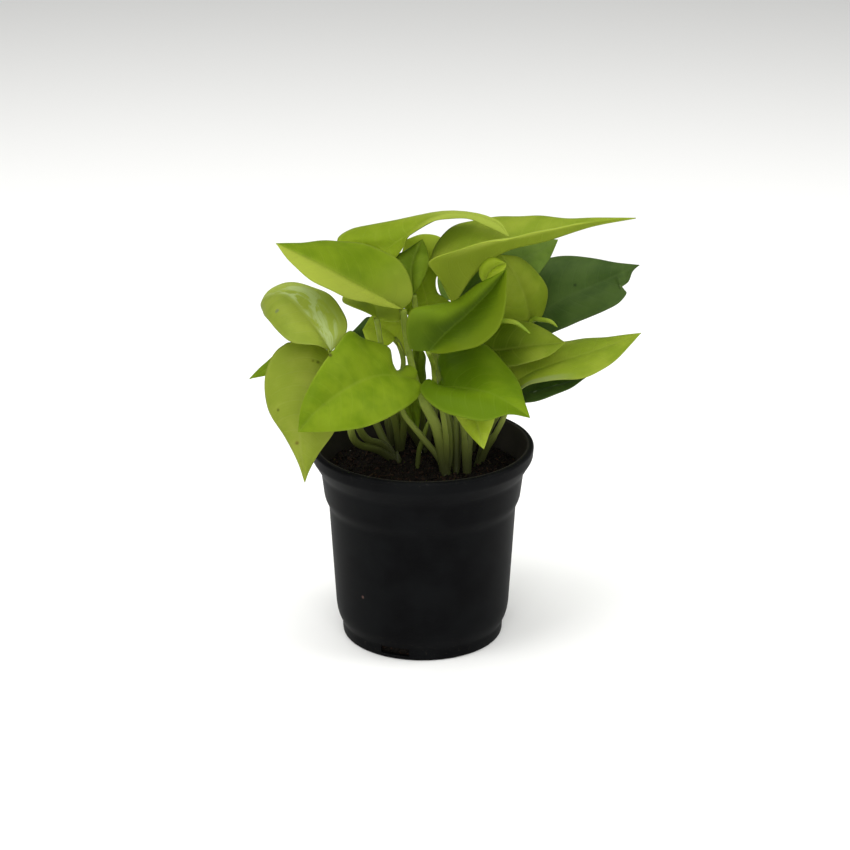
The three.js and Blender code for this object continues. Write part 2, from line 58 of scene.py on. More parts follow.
# Adds a node. An input takes a plain value, a socket, or a node, whose first live output is used.
def addNode(tree, kind, inputs=None, **settings):
    node = tree.nodes.new("ShaderNode" + kind)
    for name, value in settings.items():
        setattr(node, name, value)
    for name, value in (inputs or {}).items():
        if isinstance(value, bpy.types.Node):
            value = next(socket for socket in value.outputs if socket.enabled)
        if isinstance(value, bpy.types.NodeSocket):
            tree.links.new(value, node.inputs[name])
        else:
            node.inputs[name].default_value = value
    return node


# A new material with its nodes and the place that its textures are read from.
def startMaterial(name):
    material = bpy.data.materials.new(name)
    material.use_nodes = True
    tree = material.node_tree
    tree.nodes.clear()
    return material, tree, addNode(tree, "TexCoord").outputs["Object"]


# Lays colours over the first one. Each comes in over its ranges of values, up to an amount.
def layColors(tree, firstColor, layers):
    color = linearColor(firstColor)
    for ranges, amount, layerColor in layers:
        for value, low, high in ranges:
            amount = addNode(
                tree, "MapRange", {"Value": value, "From Min": low, "From Max": high, "To Max": amount},
                interpolation_type="SMOOTHSTEP",
            )
        color = addNode(  # inputs 0, 6 and 7 are the share and the two colours
            tree, "Mix", {0: amount, 6: color, 7: linearColor(layerColor)}, data_type="RGBA",
        )
    return color


# The surface: its roughness varies by a spread, and its relief adds up values times depths in mm.
def addCoat(tree, finish, color, cloud, spread, reliefs):
    roughness = addNode(
        tree, "Math", {0: cloud, 1: spread, 2: finish["roughness"] - spread / 2},
        operation="MULTIPLY_ADD",
    )
    relief = 0
    for value, depth in reliefs:
        relief = addNode(tree, "Math", {0: value, 1: depth, 2: relief}, operation="MULTIPLY_ADD")
    bump = addNode(tree, "Bump", {"Strength": finish["bump"], "Distance": mm, "Height": relief})
    coat = addNode(
        tree, "BsdfPrincipled",
        {"Base Color": color, "Roughness": roughness, "Normal": bump, "IOR": finish["ior"],
         "Specular IOR Level": finish["specular"]},
    )
    return coat, bump


def meshObject(name, bm, materials):
    mesh = bpy.data.meshes.new(name)
    bm.to_mesh(mesh)
    bm.free()
    for material in materials:
        mesh.materials.append(material)
    piece = bpy.data.objects.new(name, mesh)
    scene.collection.objects.link(piece)
    return piece


def smoothFaces(bm):
    bmesh.ops.recalc_face_normals(bm, faces=bm.faces[:])
    for face in bm.faces:
        face.smooth = True


# Leaf skins are thin living tissue, waxy above and duller below. Young leaves are yellower, older
# ones greener. Several tones are painted light and shade rather than a leaf's own colour: the sunny
# and sunlit tones are lighter copies for leaves that the light falls on, the shaded ones darker
# copies for leaves under others, and most of the tones after those take painted light or shade in places.
toneParts = ("light", "deep", "vein", "rim", "glow")
bladeTones = {
    "lime": ("#8aa022", "#708a16", "#98aa3c", "#a5b644", "#a4bb1c"),
    "sunnyLime": ("#9aa936", "#849828", "#a6b34c", "#b1bd56", "#b0c034"),
    "yellowLime": ("#9faa44", "#8c9c34", "#a9b35a", "#adb55a", "#b8c042"),
    # painted light in part: this yellow tone of young leaves also lightens a leaf lit through from behind
    "youngAndBacklitLime": ("#bccb4c", "#a4b732", "#c0cc62", "#c8d46a", "#cddd34"),
    "shadedLime": ("#7a9022", "#627a18", "#8a9c42", "#909f40", "#94ae20"),
    "mid": ("#7b953c", "#648030", "#738a42", "#788e46", "#72942e"),
    "dark": ("#546b33", "#435a29", "#647a44", "#6c804c", "#56742c"),
    "paintedSheenLime": ("#9fab44", "#8c9c38", "#aab564", "#adb75e", "#b6c044"),
    # painted shade: a darker copy for a leaf under the leaf above
    "shadowedGreenLime": ("#7f981c", "#6a8612", "#8ca238", "#a0b242", "#98b418"),
    # painted shade: a darker copy for the hollow of the bowl under the leaves above
    "shadedBowlLime": ("#697f13", "#587010", "#6c8226", "#8ea030", "#7c9610"),
    "sunlitLime": ("#7e941c", "#6c8412", "#96a83a", "#aaba48", "#9cb21a"),
    "ridgeLitLime": ("#9aa938", "#84982a", "#a6b34c", "#a8b542", "#b0c038"),
    "archLitLime": ("#94a62a", "#80961c", "#a5b446", "#b0be4e", "#acbe24"),
    "risingBaseShadedLime": ("#aaba3c", "#9aae30", "#acb84c", "#b4c050", "#b8c828"),
    "turnedLime": ("#9aa938", "#84982a", "#a6b34c", "#b1bd56", "#b0c038"),
    "baseShadedLime": ("#9aa938", "#84982a", "#a6b34c", "#b1bd56", "#b0c038"),
}
# Painted light and shade that a tone takes in turn, and the turned tone's paler strip where the
# margin shows its underside: ranges along the blade or towards a margin, amount and colour.
paintedBladeShading = {
    # painted light: the right half lighter
    "paintedSheenLime": [([("right", -0.15, 0.5)], 0.85, "#aebd50")],
    # painted shade: darker towards the base under the leaf above, and darker on the right half
    "shadowedGreenLime": [([("along", 0.62, 0.34)], 0.9, "#4c6608"), ([("right", -0.15, 0.5)], 0.85, "#627c0e")],
    # painted shade: darker in the crease along the midrib and towards the base on the left; painted light on
    # the right half and on the left half away from the base
    "shadedBowlLime": [
        ([("margin", 0.9, 0.15)], 0.85, "#3c5206"),
        ([("right", 0.45, 0.95)], 0.9, "#6c7f14"),
        ([("left", 0.05, 0.4), ("along", 0.25, 0.4)], 0.9, "#7a941c"),
        ([("left", 0.3, 0.8), ("along", 0.35, 0.1)], 0.7, "#4e6410"),
    ],
    # painted light: the left half and the base lighter
    "sunlitLime": [([("left", -0.15, 0.4)], 0.85, "#aeb848"), ([("along", 0.4, 0.1)], 0.6, "#b8c64c")],
    # painted highlight: a lighter band along the right margin, where the fold catches the light
    "ridgeLitLime": [([("right", 0.5, 0.95), ("along", 0.9, 0.75)], 0.6, "#bcc858")],
    # underside: painted shade towards the base, painted highlight in a band along the right margin
    "ridgeLitLimeBelow": [
        ([("along", 0.5, 0.2)], 0.9, "#7f9020"),
        ([("right", 0.3, 0.7), ("along", 0.95, 0.8), ("along", 0.22, 0.42)], 0.95, "#e2ea70"),
    ],
    # painted light: lighter along the top of the arch
    "archLitLime": [([("along", 0.35, 0.6)], 0.85, "#abb94c")],
    # painted shade: darker towards the base
    "risingBaseShadedLime": [([("along", 0.8, 0.5)], 0.9, "#7a901c")],
    "turnedLime": [([("along", 0.52, 0.32), ("right", 0.76, 0.86)], 0.85, "#98a468")],
    # painted shade: darker towards the base, where the leaves above shade it
    "baseShadedLime": [([("along", 0.8, 0.38)], 0.9, "#445a08")],
}
# painted highlight: pale sheen streaks on one glossy leaf
bladeSheens = {"paintedSheenLime": "#c6d596"}
bladeFinish = {
    "roughness": 0.43,
    "ior": 1.45,
    "specular": 0.06,
    "bump": 0.7,
    "throughShare": 0.48,
    # patches, mottle and grain: width, detail and roughness
    "noises": ((15, 4, 0.6), (2.4, 3, 0.6), (0.6, 2, 0.5)),
    "veinSpacing": 6.5,
    "veinLean": 0.5,
    "veinCurve": 0.016,
    "veinRelief": -0.05,  # the upper veins lie in shallow channels
    "underside": {"roughness": 0.58, "veinRelief": 0.08},  # duller, and its veins stand out
    "midribTint": 0.2,
    # the margin's pale edge, partly a painted highlight where the rim catches the light
    "paleLitRimTint": 0.25,
    "tints": (0.25, 0.1, 0.05),  # mottle, veins and fine veins
    "fleckCell": 14,
    "fleckColor": "#5a5c22",
    "sheenShare": 0.8,
    "undersidePaleness": 0.4,
    "spotAmount": 0.85,
    "spottedTones": ("lime", "sunlitLime", "yellowLime", "paintedSheenLime", "dark"),
}
bladeSpots = [  # brown marks: where, how wide, and their colour
    ((-65.1, -40.1, 126.6), 1.7, "#4c5218"),
    ((-56.4, -48.4, 113.8), 2.2, "#74662e"),
    ((-41.0, -48.4, 155.7), 2.6, "#463f1c"),
    ((-47.2, -29.6, 145.8), 1.9, "#4a4a1a"),
    ((-49.4, -29.5, 146.3), 1.5, "#5f6424"),
    ((-65.7, -22.2, 167.7), 2.6, "#75805a"),
    ((72.3, 34.9, 162.0), 1.8, "#2c3620"),
    ((62.1, 5.2, 122.3), 3.2, "#8e9f74"),
    ((52.8, 4.9, 119.4), 2.2, "#b4c0a4"),
]


# Epidermis of a vine leaf: a soft waxy gloss over slightly blotchy green, with hardly paler veins.
# Most tones also carry painted light and shade, and one a painted sheen.
def bladeMaterial(toneName, underside):
    finish = bladeFinish
    tone = dict(zip(toneParts, bladeTones[toneName]))
    material, tree, place = startMaterial(toneName + ("LeafUnderside" if underside else "LeafSkin"))
    veinPlace = addNode(tree, "UVMap", uv_map="bladePlace")  # tenths of a metre
    sharePlace = addNode(tree, "UVMap", uv_map="bladeShare")
    share = addNode(tree, "SeparateXYZ", {0: sharePlace})
    right = addNode(tree, "Math", {0: share, 1: 2, 2: -1}, operation="MULTIPLY_ADD")
    margin = addNode(tree, "Math", {0: right}, operation="ABSOLUTE")
    left = addNode(tree, "Math", {0: right, 1: -1}, operation="MULTIPLY")
    ways = {"right": right, "left": left, "margin": margin, "along": share.outputs[1]}
    patches, mottle, grain = [
        addNode(
            tree, "TexNoise", {"Vector": place, "Scale": perMm(size), "Detail": detail, "Roughness": rough},
        )
        for size, detail, rough in finish["noises"]
    ]
    fade = addNode(
        tree, "MapRange", {"Value": margin, "From Min": 1, "From Max": 0.6, "To Max": 1},
        interpolation_type="SMOOTHSTEP",
    )
    veins = []
    for spacing, wander, low, blend in (
        (finish["veinSpacing"], 0.9, 0.93, "SMOOTHSTEP"), (finish["veinSpacing"] / 5, 1.6, 0.5, "LINEAR"),
    ):
        band = addNode(  # a band texture repeats every 0.314 units
            tree, "TexWave",
            {"Vector": veinPlace, "Scale": 31.4 / spacing, "Distortion": wander, "Detail": 1},
            bands_direction="Y",
        )
        veins.append(addNode(
            tree, "MapRange", {"Value": band, "From Min": low, "From Max": 1, "To Max": fade},
            interpolation_type=blend,
        ))
    tints = [
        addNode(tree, "Math", {0: value, 1: tint}, operation="MULTIPLY")
        for value, tint in zip((mottle, *veins), finish["tints"])
    ]
    layers = [([(patches, 0.34, 0.66)], 1, tone["light"]), ([], tints[0], tone["deep"])]
    # the tone's painted light and shade, with its own set for the underside where it has one
    paintedShading = paintedBladeShading.get(toneName, [])
    if underside:
        paintedShading = paintedBladeShading.get(toneName + "Below", paintedShading)
    for ranges, amount, shade in paintedShading:
        layers.append(([(ways[way], low, high) for way, low, high in ranges], amount, shade))
    outward = addNode(tree, "SeparateXYZ", {0: veinPlace})
    layers += [
        ([], tints[1], tone["vein"]),
        ([], tints[2], tone["vein"]),
        ([(outward, 0.011, 0.004)], finish["midribTint"], tone["vein"]),
        # the margin: a pale edge, partly a painted highlight
        ([(margin, 0.9, 1)], finish["paleLitRimTint"], tone["rim"]),
    ]
    if underside:
        layers.append(([], finish["undersidePaleness"], tone["rim"]))
    elif toneName in bladeSheens:  # painted highlight: pale streaks on one half of the blade stand in for a glossy sheen
        streaks = addNode(tree, "Mapping", {"Vector": sharePlace, "Scale": (9, 5, 1)})
        streak = addNode(
            tree, "TexNoise",
            {"Vector": streaks, "Scale": 1, "Detail": 3, "Roughness": 0.55, "Distortion": 1.2},
        )
        ranges = [(right, 0, 0.1), (ways["along"], 0.85, 0.6), (right, 0.85, 0.5), (streak, 0.4, 0.6)]
        layers.append((ranges, finish["sheenShare"], bladeSheens[toneName]))
    cells = addNode(tree, "TexVoronoi", {"Vector": place, "Scale": perMm(finish["fleckCell"])})
    cellShade = addNode(tree, "SeparateXYZ", {0: cells.outputs["Color"]})
    fleck = 0.5
    for value, low, high in ((cellShade, 0.8, 0.84), (cells.outputs["Distance"], 0.05, 0.025)):
        fleck = addNode(
            tree, "MapRange", {"Value": value, "From Min": low, "From Max": high, "To Max": fleck},
        )
    layers.append(([], fleck, finish["fleckColor"]))
    for spotPlace, size, shade in bladeSpots if toneName in finish["spottedTones"] else []:
        distance = addNode(tree, "VectorMath", {0: place, 1: Vector(spotPlace) * mm}, operation="DISTANCE")
        ragged = addNode(
            tree, "Math", {0: mottle, 1: 0.8 * mm, 2: distance.outputs["Value"]}, operation="MULTIPLY_ADD",
        )
        layers.append(([(ragged, (size / 2 + 0.7) * mm, size / 3 * mm)], finish["spotAmount"], shade))
    color = layColors(tree, tone["deep"], layers)
    if underside:
        finish = {**finish, **finish["underside"]}
    depth = finish["veinRelief"]
    reliefs = [(grain, 0.03), (veins[0], depth), (veins[1], 0.3 * depth)]
    skin, bump = addCoat(tree, finish, color, mottle, 0.16, reliefs)
    through = addNode(tree, "Mix", {0: 0.5, 6: color, 7: linearColor(tone["glow"])}, data_type="RGBA")
    glow = addNode(tree, "BsdfTranslucent", {"Color": through, "Normal": bump})
    mixed = addNode(tree, "MixShader", {0: finish["throughShare"], 1: skin, 2: glow})
    addNode(tree, "OutputMaterial", {"Surface": mixed})
    return material


bladeSkins = {
    toneName: [bladeMaterial(toneName, underside) for underside in (False, True)] for toneName in bladeTones
}
print("leaf skins done")


# A smooth curve through the given places, read by the share of its length.
def railThrough(places):
    points = [Vector(place) for place in places]
    last = len(points) - 1

    def placeOf(t):
        step = min(int(t * last), last - 1)
        weight = t * last - step
        b, c = points[step], points[step + 1]
        a = points[step - 1] if step > 0 else 2 * b - c
        d = points[step + 2] if step + 2 <= last else 2 * c - b
        gapAB, gapBC, gapCD = math.sqrt((b - a).length), math.sqrt((c - b).length), math.sqrt((d - c).length)
        leave = ((b - a) / gapAB - (c - a) / (gapAB + gapBC) + (c - b) / gapBC) * gapBC
        arrive = ((c - b) / gapBC - (d - b) / (gapBC + gapCD) + (d - c) / gapCD) * gapBC
        w2, w3 = weight ** 2, weight ** 3
        return (
            b * (2 * w3 - 3 * w2 + 1) + c * (3 * w2 - 2 * w3)
            + leave * (w3 - 2 * w2 + weight) + arrive * (w3 - w2)
        )

    stepCount = 200
    samples = [placeOf(i / stepCount) for i in range(stepCount + 1)]
    lengths = [0.0]
    for before, after in zip(samples, samples[1:]):
        lengths.append(lengths[-1] + (after - before).length)

    def stepOf(share):
        target = min(max(share, 0), 1) * lengths[-1]
        i = min(max(bisect.bisect_left(lengths, target), 1), stepCount)
        return (i - 1 + (target - lengths[i - 1]) / (lengths[i] - lengths[i - 1])) / stepCount

    def placeAt(share):
        return placeOf(stepOf(share))

    def tangentAt(share):
        t, nudge = stepOf(share), 1e-4
        return (placeOf(min(t + nudge, 1)) - placeOf(max(t - nudge, 0))).normalized()

    return placeAt, tangentAt, lengths[-1]


# Leaves run from base to tip; left and right are seen from above with the tip ahead. The route is
# the petiole's, from the soil to the base; sheath and thick are the radii that aren't usual.
leaves = {
    "leaf_top_left": {
        "tone": "sunlitLime", "sheath": 2.7, "thick": 1.75,
        "midrib": [(-9, -2, 162), (-26, -14, 176), (-46, -18, 189), (-66, -14, 197)],
        "left": [(-11, -8, 164), (-23, -22, 171), (-35, -30, 177), (-49, -32, 185), (-59, -24, 191)],
        "right": [(-5, 0, 166), (-5, 3, 173), (-11, 6, 183), (-23, 8, 189), (-40, 4, 193), (-55, -6, 195)],
        "route": [
            (9, -9, 95), (6, -12, 109), (0.6, -13.5, 121), (-3.2, -11, 130.6), (-5.4, -8, 139.3),
            (-7.4, -4.5, 150),
        ],
    },
    "leaf_under_top_left": {
        "tone": "sunnyLime",
        "midrib": [(-21, -6, 159), (-22, 6, 161), (-26, 22, 163)],
        "left": [(-26, -10, 163), (-33, -6, 165), (-37, 2, 165), (-34, 14, 166)],
        "right": [(-16, -8, 158), (-11, -4, 157), (-9, 8, 159), (-16, 20, 162)],
        "route": [(-12, 14, 96), (-15, 8, 112), (-18, 1, 131), (-19, -3, 144)],
    },
    "leaf_dark_behind_left": {
        "tone": "dark", "slot": "dark_blade",
        "midrib": [(-23, 34, 134), (-29, 38, 135), (-35, 38, 136)],
        "left": [(-26, 30, 132), (-32, 32, 134)],
        "right": [(-21, 42, 141), (-26, 44, 143), (-31, 42, 139)],
        "route": [(-15, 30, 96), (-18, 32, 112), (-21, 33, 124)],
    },
    "leaf_behind_left": {
        # painted light: the young tone stands in for light coming through this leaf from behind
        "tone": "youngAndBacklitLime",
        "midrib": [(-13, 14, 142), (-18, 16, 147), (-28, 10, 148)],
        "left": [(-15, 10, 141), (-19, 5, 141), (-25, 5, 143)],
        "right": [
            (-10, 15, 137), (-8, 18, 132), (-7, 20, 138), (-8, 22, 145), (-11, 26, 149), (-22, 22, 152),
        ],
        "route": [(-10, 16, 98), (-11, 14, 112), (-10, 13, 123), (-9, 15, 131), (-11, 17, 138)],
    },
    "leaf_left_round": {
        "tone": "paintedSheenLime",
        "midrib": [(-41, -36, 153), (-52, -26, 166), (-63, -12, 172), (-74, 2, 165), (-73, 12, 156)],
        "left": [(-47, -42, 158), (-59, -40, 159), (-66, -30, 162), (-72, -14, 163)],
        "right": [
            (-35.4, -27, 156.5), (-34.4, -17, 161), (-41, -4, 168), (-53, 6, 171), (-65, 12, 170),
            (-73, 14, 164),
        ],
        "route": [
            (-21, 4, 90), (-30, -6, 97), (-33, -18, 109), (-31, -27, 124), (-33, -35, 138), (-38, -37, 148),
        ],
    },
    "leaf_front_left_hanging": {
        "tone": "yellowLime",
        "midrib": [(-36, -26, 145), (-47, -34, 141), (-54, -42, 128), (-55, -48, 115), (-53, -52, 96)],
        "left": [(-34, -24, 140), (-35, -31, 128), (-39, -41, 118), (-47, -48, 108), (-51, -50, 101)],
        "right": [
            (-42, -22, 148), (-53, -20, 153), (-65, -22, 150), (-71, -28, 140), (-70, -36, 126),
            (-62, -44, 115), (-56, -50, 105),
        ],
        "route": [(-19, 8, 91), (-26, 0, 97), (-30, -7, 107), (-31, -13, 121), (-33, -20, 135)],
    },
    "leaf_behind_hanging": {
        "tone": "lime", "slot": "green_blade",
        "midrib": [(-57, 0, 140), (-69, -4, 135), (-80, -8, 130)],
        "left": [(-56, -10, 134), (-69, -10, 133)],
        "right": [(-62, 6, 143), (-72, 2, 135)],
        "route": [(-18, 13, 91), (-25, 15, 105), (-37, 14, 119), (-48, 8, 131)],
    },
    "leaf_front_center": {
        "tone": "lime", "sheath": 1.6,
        "midrib": [(-3, -19, 134), (-19, -34, 141), (-34, -52, 141), (-47, -62, 134), (-55, -64, 125)],
        "left": [(0, -24, 132), (-2, -30, 129), (-12, -46, 127), (-25, -60, 126), (-39, -66, 126)],
        "right": [
            (-2.5, -15, 136.5), (-7, -10, 137.5), (-12, -9, 134.5), (-14, -10, 139), (-15, -12, 146),
            (-20, -15, 150), (-26, -18, 153), (-33, -28, 160), (-38, -42, 158), (-45, -54, 152),
            (-53, -62, 138),
        ],
        "route": [(8, -8, 90), (0, -8, 101), (-9, -9, 114), (-9, -13, 124)],
    },
    "leaf_front_right": {
        "tone": "shadowedGreenLime", "sheath": 1.6,
        "midrib": [(6, -24, 132), (17, -34, 135), (31, -44, 136), (41, -50, 132), (48, -54, 128)],
        "left": [
            (9, -17, 134), (7, -11, 139), (10, -6, 145), (18, -4, 147), (29, -6, 146), (39, -12, 138),
            (44, -26, 134), (46, -44, 132),
        ],
        "right": [
            (3, -22, 135), (-1, -28, 133), (4, -42, 130), (15, -52, 128), (27, -58, 128), (38, -58, 131),
        ],
        "route": [(11, -12, 101), (9, -19, 119)],
    },
    "leaf_center_bowl": {
        "tone": "shadedBowlLime", "sheath": 1.6,
        "midrib": [(2.8, -30, 151), (11, -24, 158), (22, -20, 167), (31, -18, 176), (38, -20, 187)],
        "left": [
            (-5, -28, 151.4), (-7, -25, 156), (-7, -20, 162), (-4.5, -15, 166), (5, -10, 167), (15, -8, 168),
            (25, -11, 177), (32, -16, 182),
        ],
        "right": [
            (7, -33, 151), (17, -40, 154.8), (26.6, -42, 158.7), (34, -40, 165), (37, -34, 174),
            (38, -26, 182),
        ],
        "route": [(13, -7, 92), (12, -8, 106), (9, -10, 120), (6, -13, 130), (5, -20, 141)],
    },
    "leaf_top_arch": {
        "tone": "archLitLime",
        "midrib": [
            (-21, 22, 180), (-9, 22, 189), (8, 24, 198.4), (24, 20, 200.2), (35, 12, 198.6), (40, 6, 194),
        ],
        "left": [
            (-31, 30, 179), (-40, 34, 184), (-34, 42, 187.5), (-16, 46, 189.3), (1, 42, 194),
            (16, 32, 198.2), (29, 20, 200), (36, 13, 199),
        ],
        "right": [
            (-24, 16, 178), (-15, 14, 180), (-9, 12, 187), (-7, 13, 192), (4, 16, 198), (18, 17, 200),
            (30, 10, 198),
        ],
        "route": [(-7, 24, 95), (-14, 20, 109), (-18, 20, 127), (-18, 28, 138), (-18, 27, 158)],
    },
    "leaf_shaded_small": {
        "tone": "shadedLime", "sheath": 1.6,
        "midrib": [(-4, 7, 166), (-5, 13, 178), (0, 20, 189)],
        "left": [(-9, 9, 169), (-13, 16, 181), (-7, 20, 184)],
        "right": [(-1, 6, 171), (3, 12, 180), (2, 18, 185)],
        "route": [(14, 2, 98), (11, 8, 114), (7, 10, 128), (5, 12, 137), (-2, 9, 154)],
    },
    "leaf_behind_center": {
        "tone": "risingBaseShadedLime", "sheath": 1.6,
        "midrib": [(3, 20, 154), (0, 30, 165), (-3, 40, 174), (-8, 46, 181)],
        "left": [(-2, 19, 151), (-7, 20, 152), (-9, 25, 157), (-9, 32, 162), (-10, 44, 173)],
        "right": [
            (13, 17, 159), (10, 19, 161), (7, 24, 162), (6.5, 28, 167), (10, 33, 173), (12.5, 40, 179),
            (8, 46, 182.5), (0, 47, 183.5),
        ],
        "route": [(17, 4, 98), (16, 12, 112), (14, 18, 135), (11, 20, 147)],
    },
    "leaf_top_right_folded": {
        "tone": "ridgeLitLime", "sheath": 1.6,
        "midrib": [
            (14, 3, 162.6), (21, 2, 175), (28, 2, 183), (39, 4, 189), (57, 6, 193), (78, 8, 199),
            (98, 10, 202),
        ],
        "left": [
            (10, 11, 168), (4.5, 20, 179.9), (5.4, 25, 183.4), (10, 30, 188.4), (17, 33, 192.6),
            (34, 32, 196), (50, 28, 198), (69, 20, 199), (86, 14, 201),
        ],
        "right": [
            (11, -4, 172), (6, -12, 182), (3, -18, 189), (9, -22, 194), (25, -22, 199), (40, -16, 200),
            (58, -6, 201), (80, 4, 202),
        ],
        "route": [(16, -2, 97), (16, 3, 116), (16, 6, 139), (15, 5, 157)],
    },
    "leaf_young_curled": {
        "tone": "youngAndBacklitLime", "sheath": 1.6,
        "midrib": [(29, -4, 174), (31, -7, 182), (38, -8, 186)],
        "left": [(26, -2, 179), (27, -4, 184), (32, -6, 188)],
        "right": [(32, -9, 178), (35, -12, 182), (38, -10, 185)],
        "route": [(20, -6, 99), (20, 4, 115), (20, 12, 132), (23, 5, 154)],
    },
    "leaf_right_round": {
        "tone": "sunnyLime",
        "midrib": [(51, 24, 146), (48, 18, 161), (43, 13, 174), (36, 12, 184)],
        "left": [(40, 15, 150), (34.5, 9, 160), (33, 4, 175), (32, 8, 183)],
        "right": [(56, 25, 149), (59, 26, 161), (54, 22, 172), (45, 17, 181)],
        "route": [(21, -6, 99), (23, 2, 113), (32, 12, 127), (44, 20, 137)],
    },
    "leaf_right_middle": {
        "tone": "baseShadedLime",
        "midrib": [(23, 8, 138), (36, 1, 141), (51, -4, 145), (66, -6, 147)],
        "left": [(24, 9, 144), (31, 8, 150), (41, 8, 153), (50, 8, 152.4), (57, 6, 149.4), (62, 2, 147.5)],
        "right": [(26, 2, 135), (36, -8, 136), (48, -13, 139.3), (59, -11, 143)],
        "route": [(22, -4, 98), (25, 2, 113), (24, 7, 127)],
    },
    "leaf_lower_right_long": {
        "tone": "turnedLime",
        "midrib": [(40, 0, 124), (51, -4, 132), (66, -4, 138), (85, 0, 143), (102, 8, 147)],
        "left": [(37, 10, 129), (51, 18, 136), (67, 20, 139), (86, 14, 143)],
        "right": [(42, -4, 121), (50, -12, 129), (63, -18, 133), (77, -18, 135), (90, -8, 140)],
        "route": [(30, 1, 92), (35, -2, 102), (39, -2, 112)],
    },
    "leaf_dark_lower_right": {
        "tone": "dark", "slot": "dark_blade",
        "midrib": [(42, 10, 115), (58, 8, 120), (78, 10, 125)],
        "left": [(43, 20, 118), (56, 26, 122), (70, 20, 125)],
        "right": [(45, 4, 114), (57, -2, 118), (68, 0, 122)],
        "route": [(29, 6, 92), (33, 9, 101), (38, 10, 109)],
    },
    "leaf_dark_upper_right": {
        "tone": "dark", "slot": "dark_blade",
        "midrib": [(51, 30, 145), (65, 32, 155), (84, 32, 164), (102, 28, 174)],
        "left": [(47, 42, 152), (53, 52, 166), (64, 52, 171), (80, 46, 172), (93, 38, 172)],
        "right": [
            (55, 22, 141), (66, 20, 145), (74, 20, 149), (86, 20, 154), (93, 22, 158), (96, 24, 162),
            (93, 25, 163), (97, 27, 166), (99, 28, 171),
        ],
        "route": [(28, 26, 100), (35, 32, 118), (44, 34, 132)],
    },
    "leaf_green_behind_right": {
        "tone": "mid", "slot": "green_blade",
        "midrib": [(16, 16, 161), (27, 22, 169), (43, 28, 175), (64, 36, 184)],
        "left": [(12, 20, 162), (12, 28, 165), (15, 34, 171), (27, 42, 177), (46, 44, 183)],
        "right": [(18, 10, 162), (32, 10, 164), (49, 18, 168), (59, 30, 175)],
        "route": [(24, 24, 100), (23, 24, 126), (20, 20, 147)],
    },
    "leaf_under_front_right": {
        "tone": "youngAndBacklitLime",
        "midrib": [(16, -14, 123), (23, -24, 120), (26, -32, 113), (28, -36, 106)],
        "left": [(25, -16, 125), (33, -26, 120), (30, -33, 111)],
        "right": [(13, -16, 121), (18, -26, 114), (24, -33, 109)],
        "route": [(19, -10, 106)],
    },
    "leaf_shaded_low": {
        "tone": "shadedLime",
        "midrib": [(-6, 2, 124), (-5, 0, 112), (-2, 0, 100)],
        "left": [(-1, 0, 120), (-1, 0, 110)],
        "right": [(-10, 0, 120), (-9, 0, 111)],
        "route": [(-9, 13, 99), (-10, 8, 114), (-8, 4, 121)],
    },
    "leaf_shaded_center": {
        "tone": "shadedLime", "sheath": 1.6,
        "midrib": [(-2, 17, 117), (-3, 16, 127), (-2, 14, 139)],
        "left": [(-5, 16, 119), (-6, 15, 127), (-5, 14, 136)],
        "right": [(1.5, 17, 120), (1.3, 17, 127), (1.3, 15, 134)],
        "route": [(0, 23, 100), (-1, 19, 110)],
    },
    "leaf_back_low_left": {
        "tone": "lime",
        "midrib": [(-24, 36, 114), (-32, 50, 120), (-42, 62, 118), (-52, 72, 106)],
        "left": [(-30, 33, 114), (-38, 42, 117), (-48, 54, 113)],
        "right": [(-19, 42, 114), (-22, 58, 119), (-34, 72, 112)],
        "route": [(-18, 33, 98), (-22, 36, 107)],
    },
    "leaf_back_low_middle": {
        "tone": "lime",
        "midrib": [(18, 40, 118), (21, 56, 121), (24, 70, 116), (26, 80, 102)],
        "left": [(13, 44, 117), (11, 58, 117), (16, 72, 112)],
        "right": [(23, 42, 117), (33, 52, 117), (36, 66, 111)],
        "route": [(6, 32, 98), (12, 38, 110)],
    },
    "leaf_back_low_right": {
        "tone": "lime",
        "midrib": [(36, 44, 120), (48, 54, 126), (60, 62, 124), (72, 70, 114)],
        "left": [(32, 50, 120), (36, 64, 122), (52, 74, 118)],
        "right": [(42, 42, 119), (56, 46, 120), (70, 56, 118)],
        "route": [(28, 32, 98), (33, 40, 110)],
    },
    "leaf_back_high": {
        "tone": "mid", "slot": "green_blade",
        "midrib": [(16, 48, 150), (24, 60, 158), (36, 74, 162), (50, 86, 156)],
        "left": [(10, 52, 150), (8, 66, 158), (24, 82, 160)],
        "right": [(22, 46, 149), (38, 52, 156), (50, 68, 158)],
        "route": [(5, 34, 100), (7, 42, 122), (11, 48, 140)],
    },
    "leaf_back_high_left": {
        "tone": "lime",
        "midrib": [(-18, 44, 158), (-24, 56, 166), (-32, 70, 168), (-42, 82, 160)],
        "left": [(-24, 42, 157), (-36, 48, 163), (-44, 64, 163)],
        "right": [(-12, 48, 158), (-12, 64, 165), (-24, 80, 164)],
        "route": [(-14, 32, 98), (-18, 36, 117), (-20, 40, 131), (-19, 43, 145)],
    },
}

bladeShape = {
    "columns": 40,
    "rowLength": 0.95,  # millimetres between the rows
    "leastRows": 24,
    "thickness": 0.5,
    "rimThickness": 0.26,
    "cup": 2.0,
    "grooveRounding": 0.1,  # share of the half blade over which the fold at the midrib is rounded
    "channelDepth": 0.3,
    "channelWidth": 0.8,
    "quiltDepth": 0.1,
    "quiltMiddle": 0.6,
    "quiltEdge": 1.1,  # the quilting fades out a little inside the margin
    "steadyEnds": 0.1,  # share of the length at each end where the blade no longer turns
    "waveHeight": 0.3,
    "waveLength": 17,
    "wavePhase": 1.7,  # from one leaf to the next
    "ridgeHeight": 0.75,
    "ridgeWidth": 0.95,
}


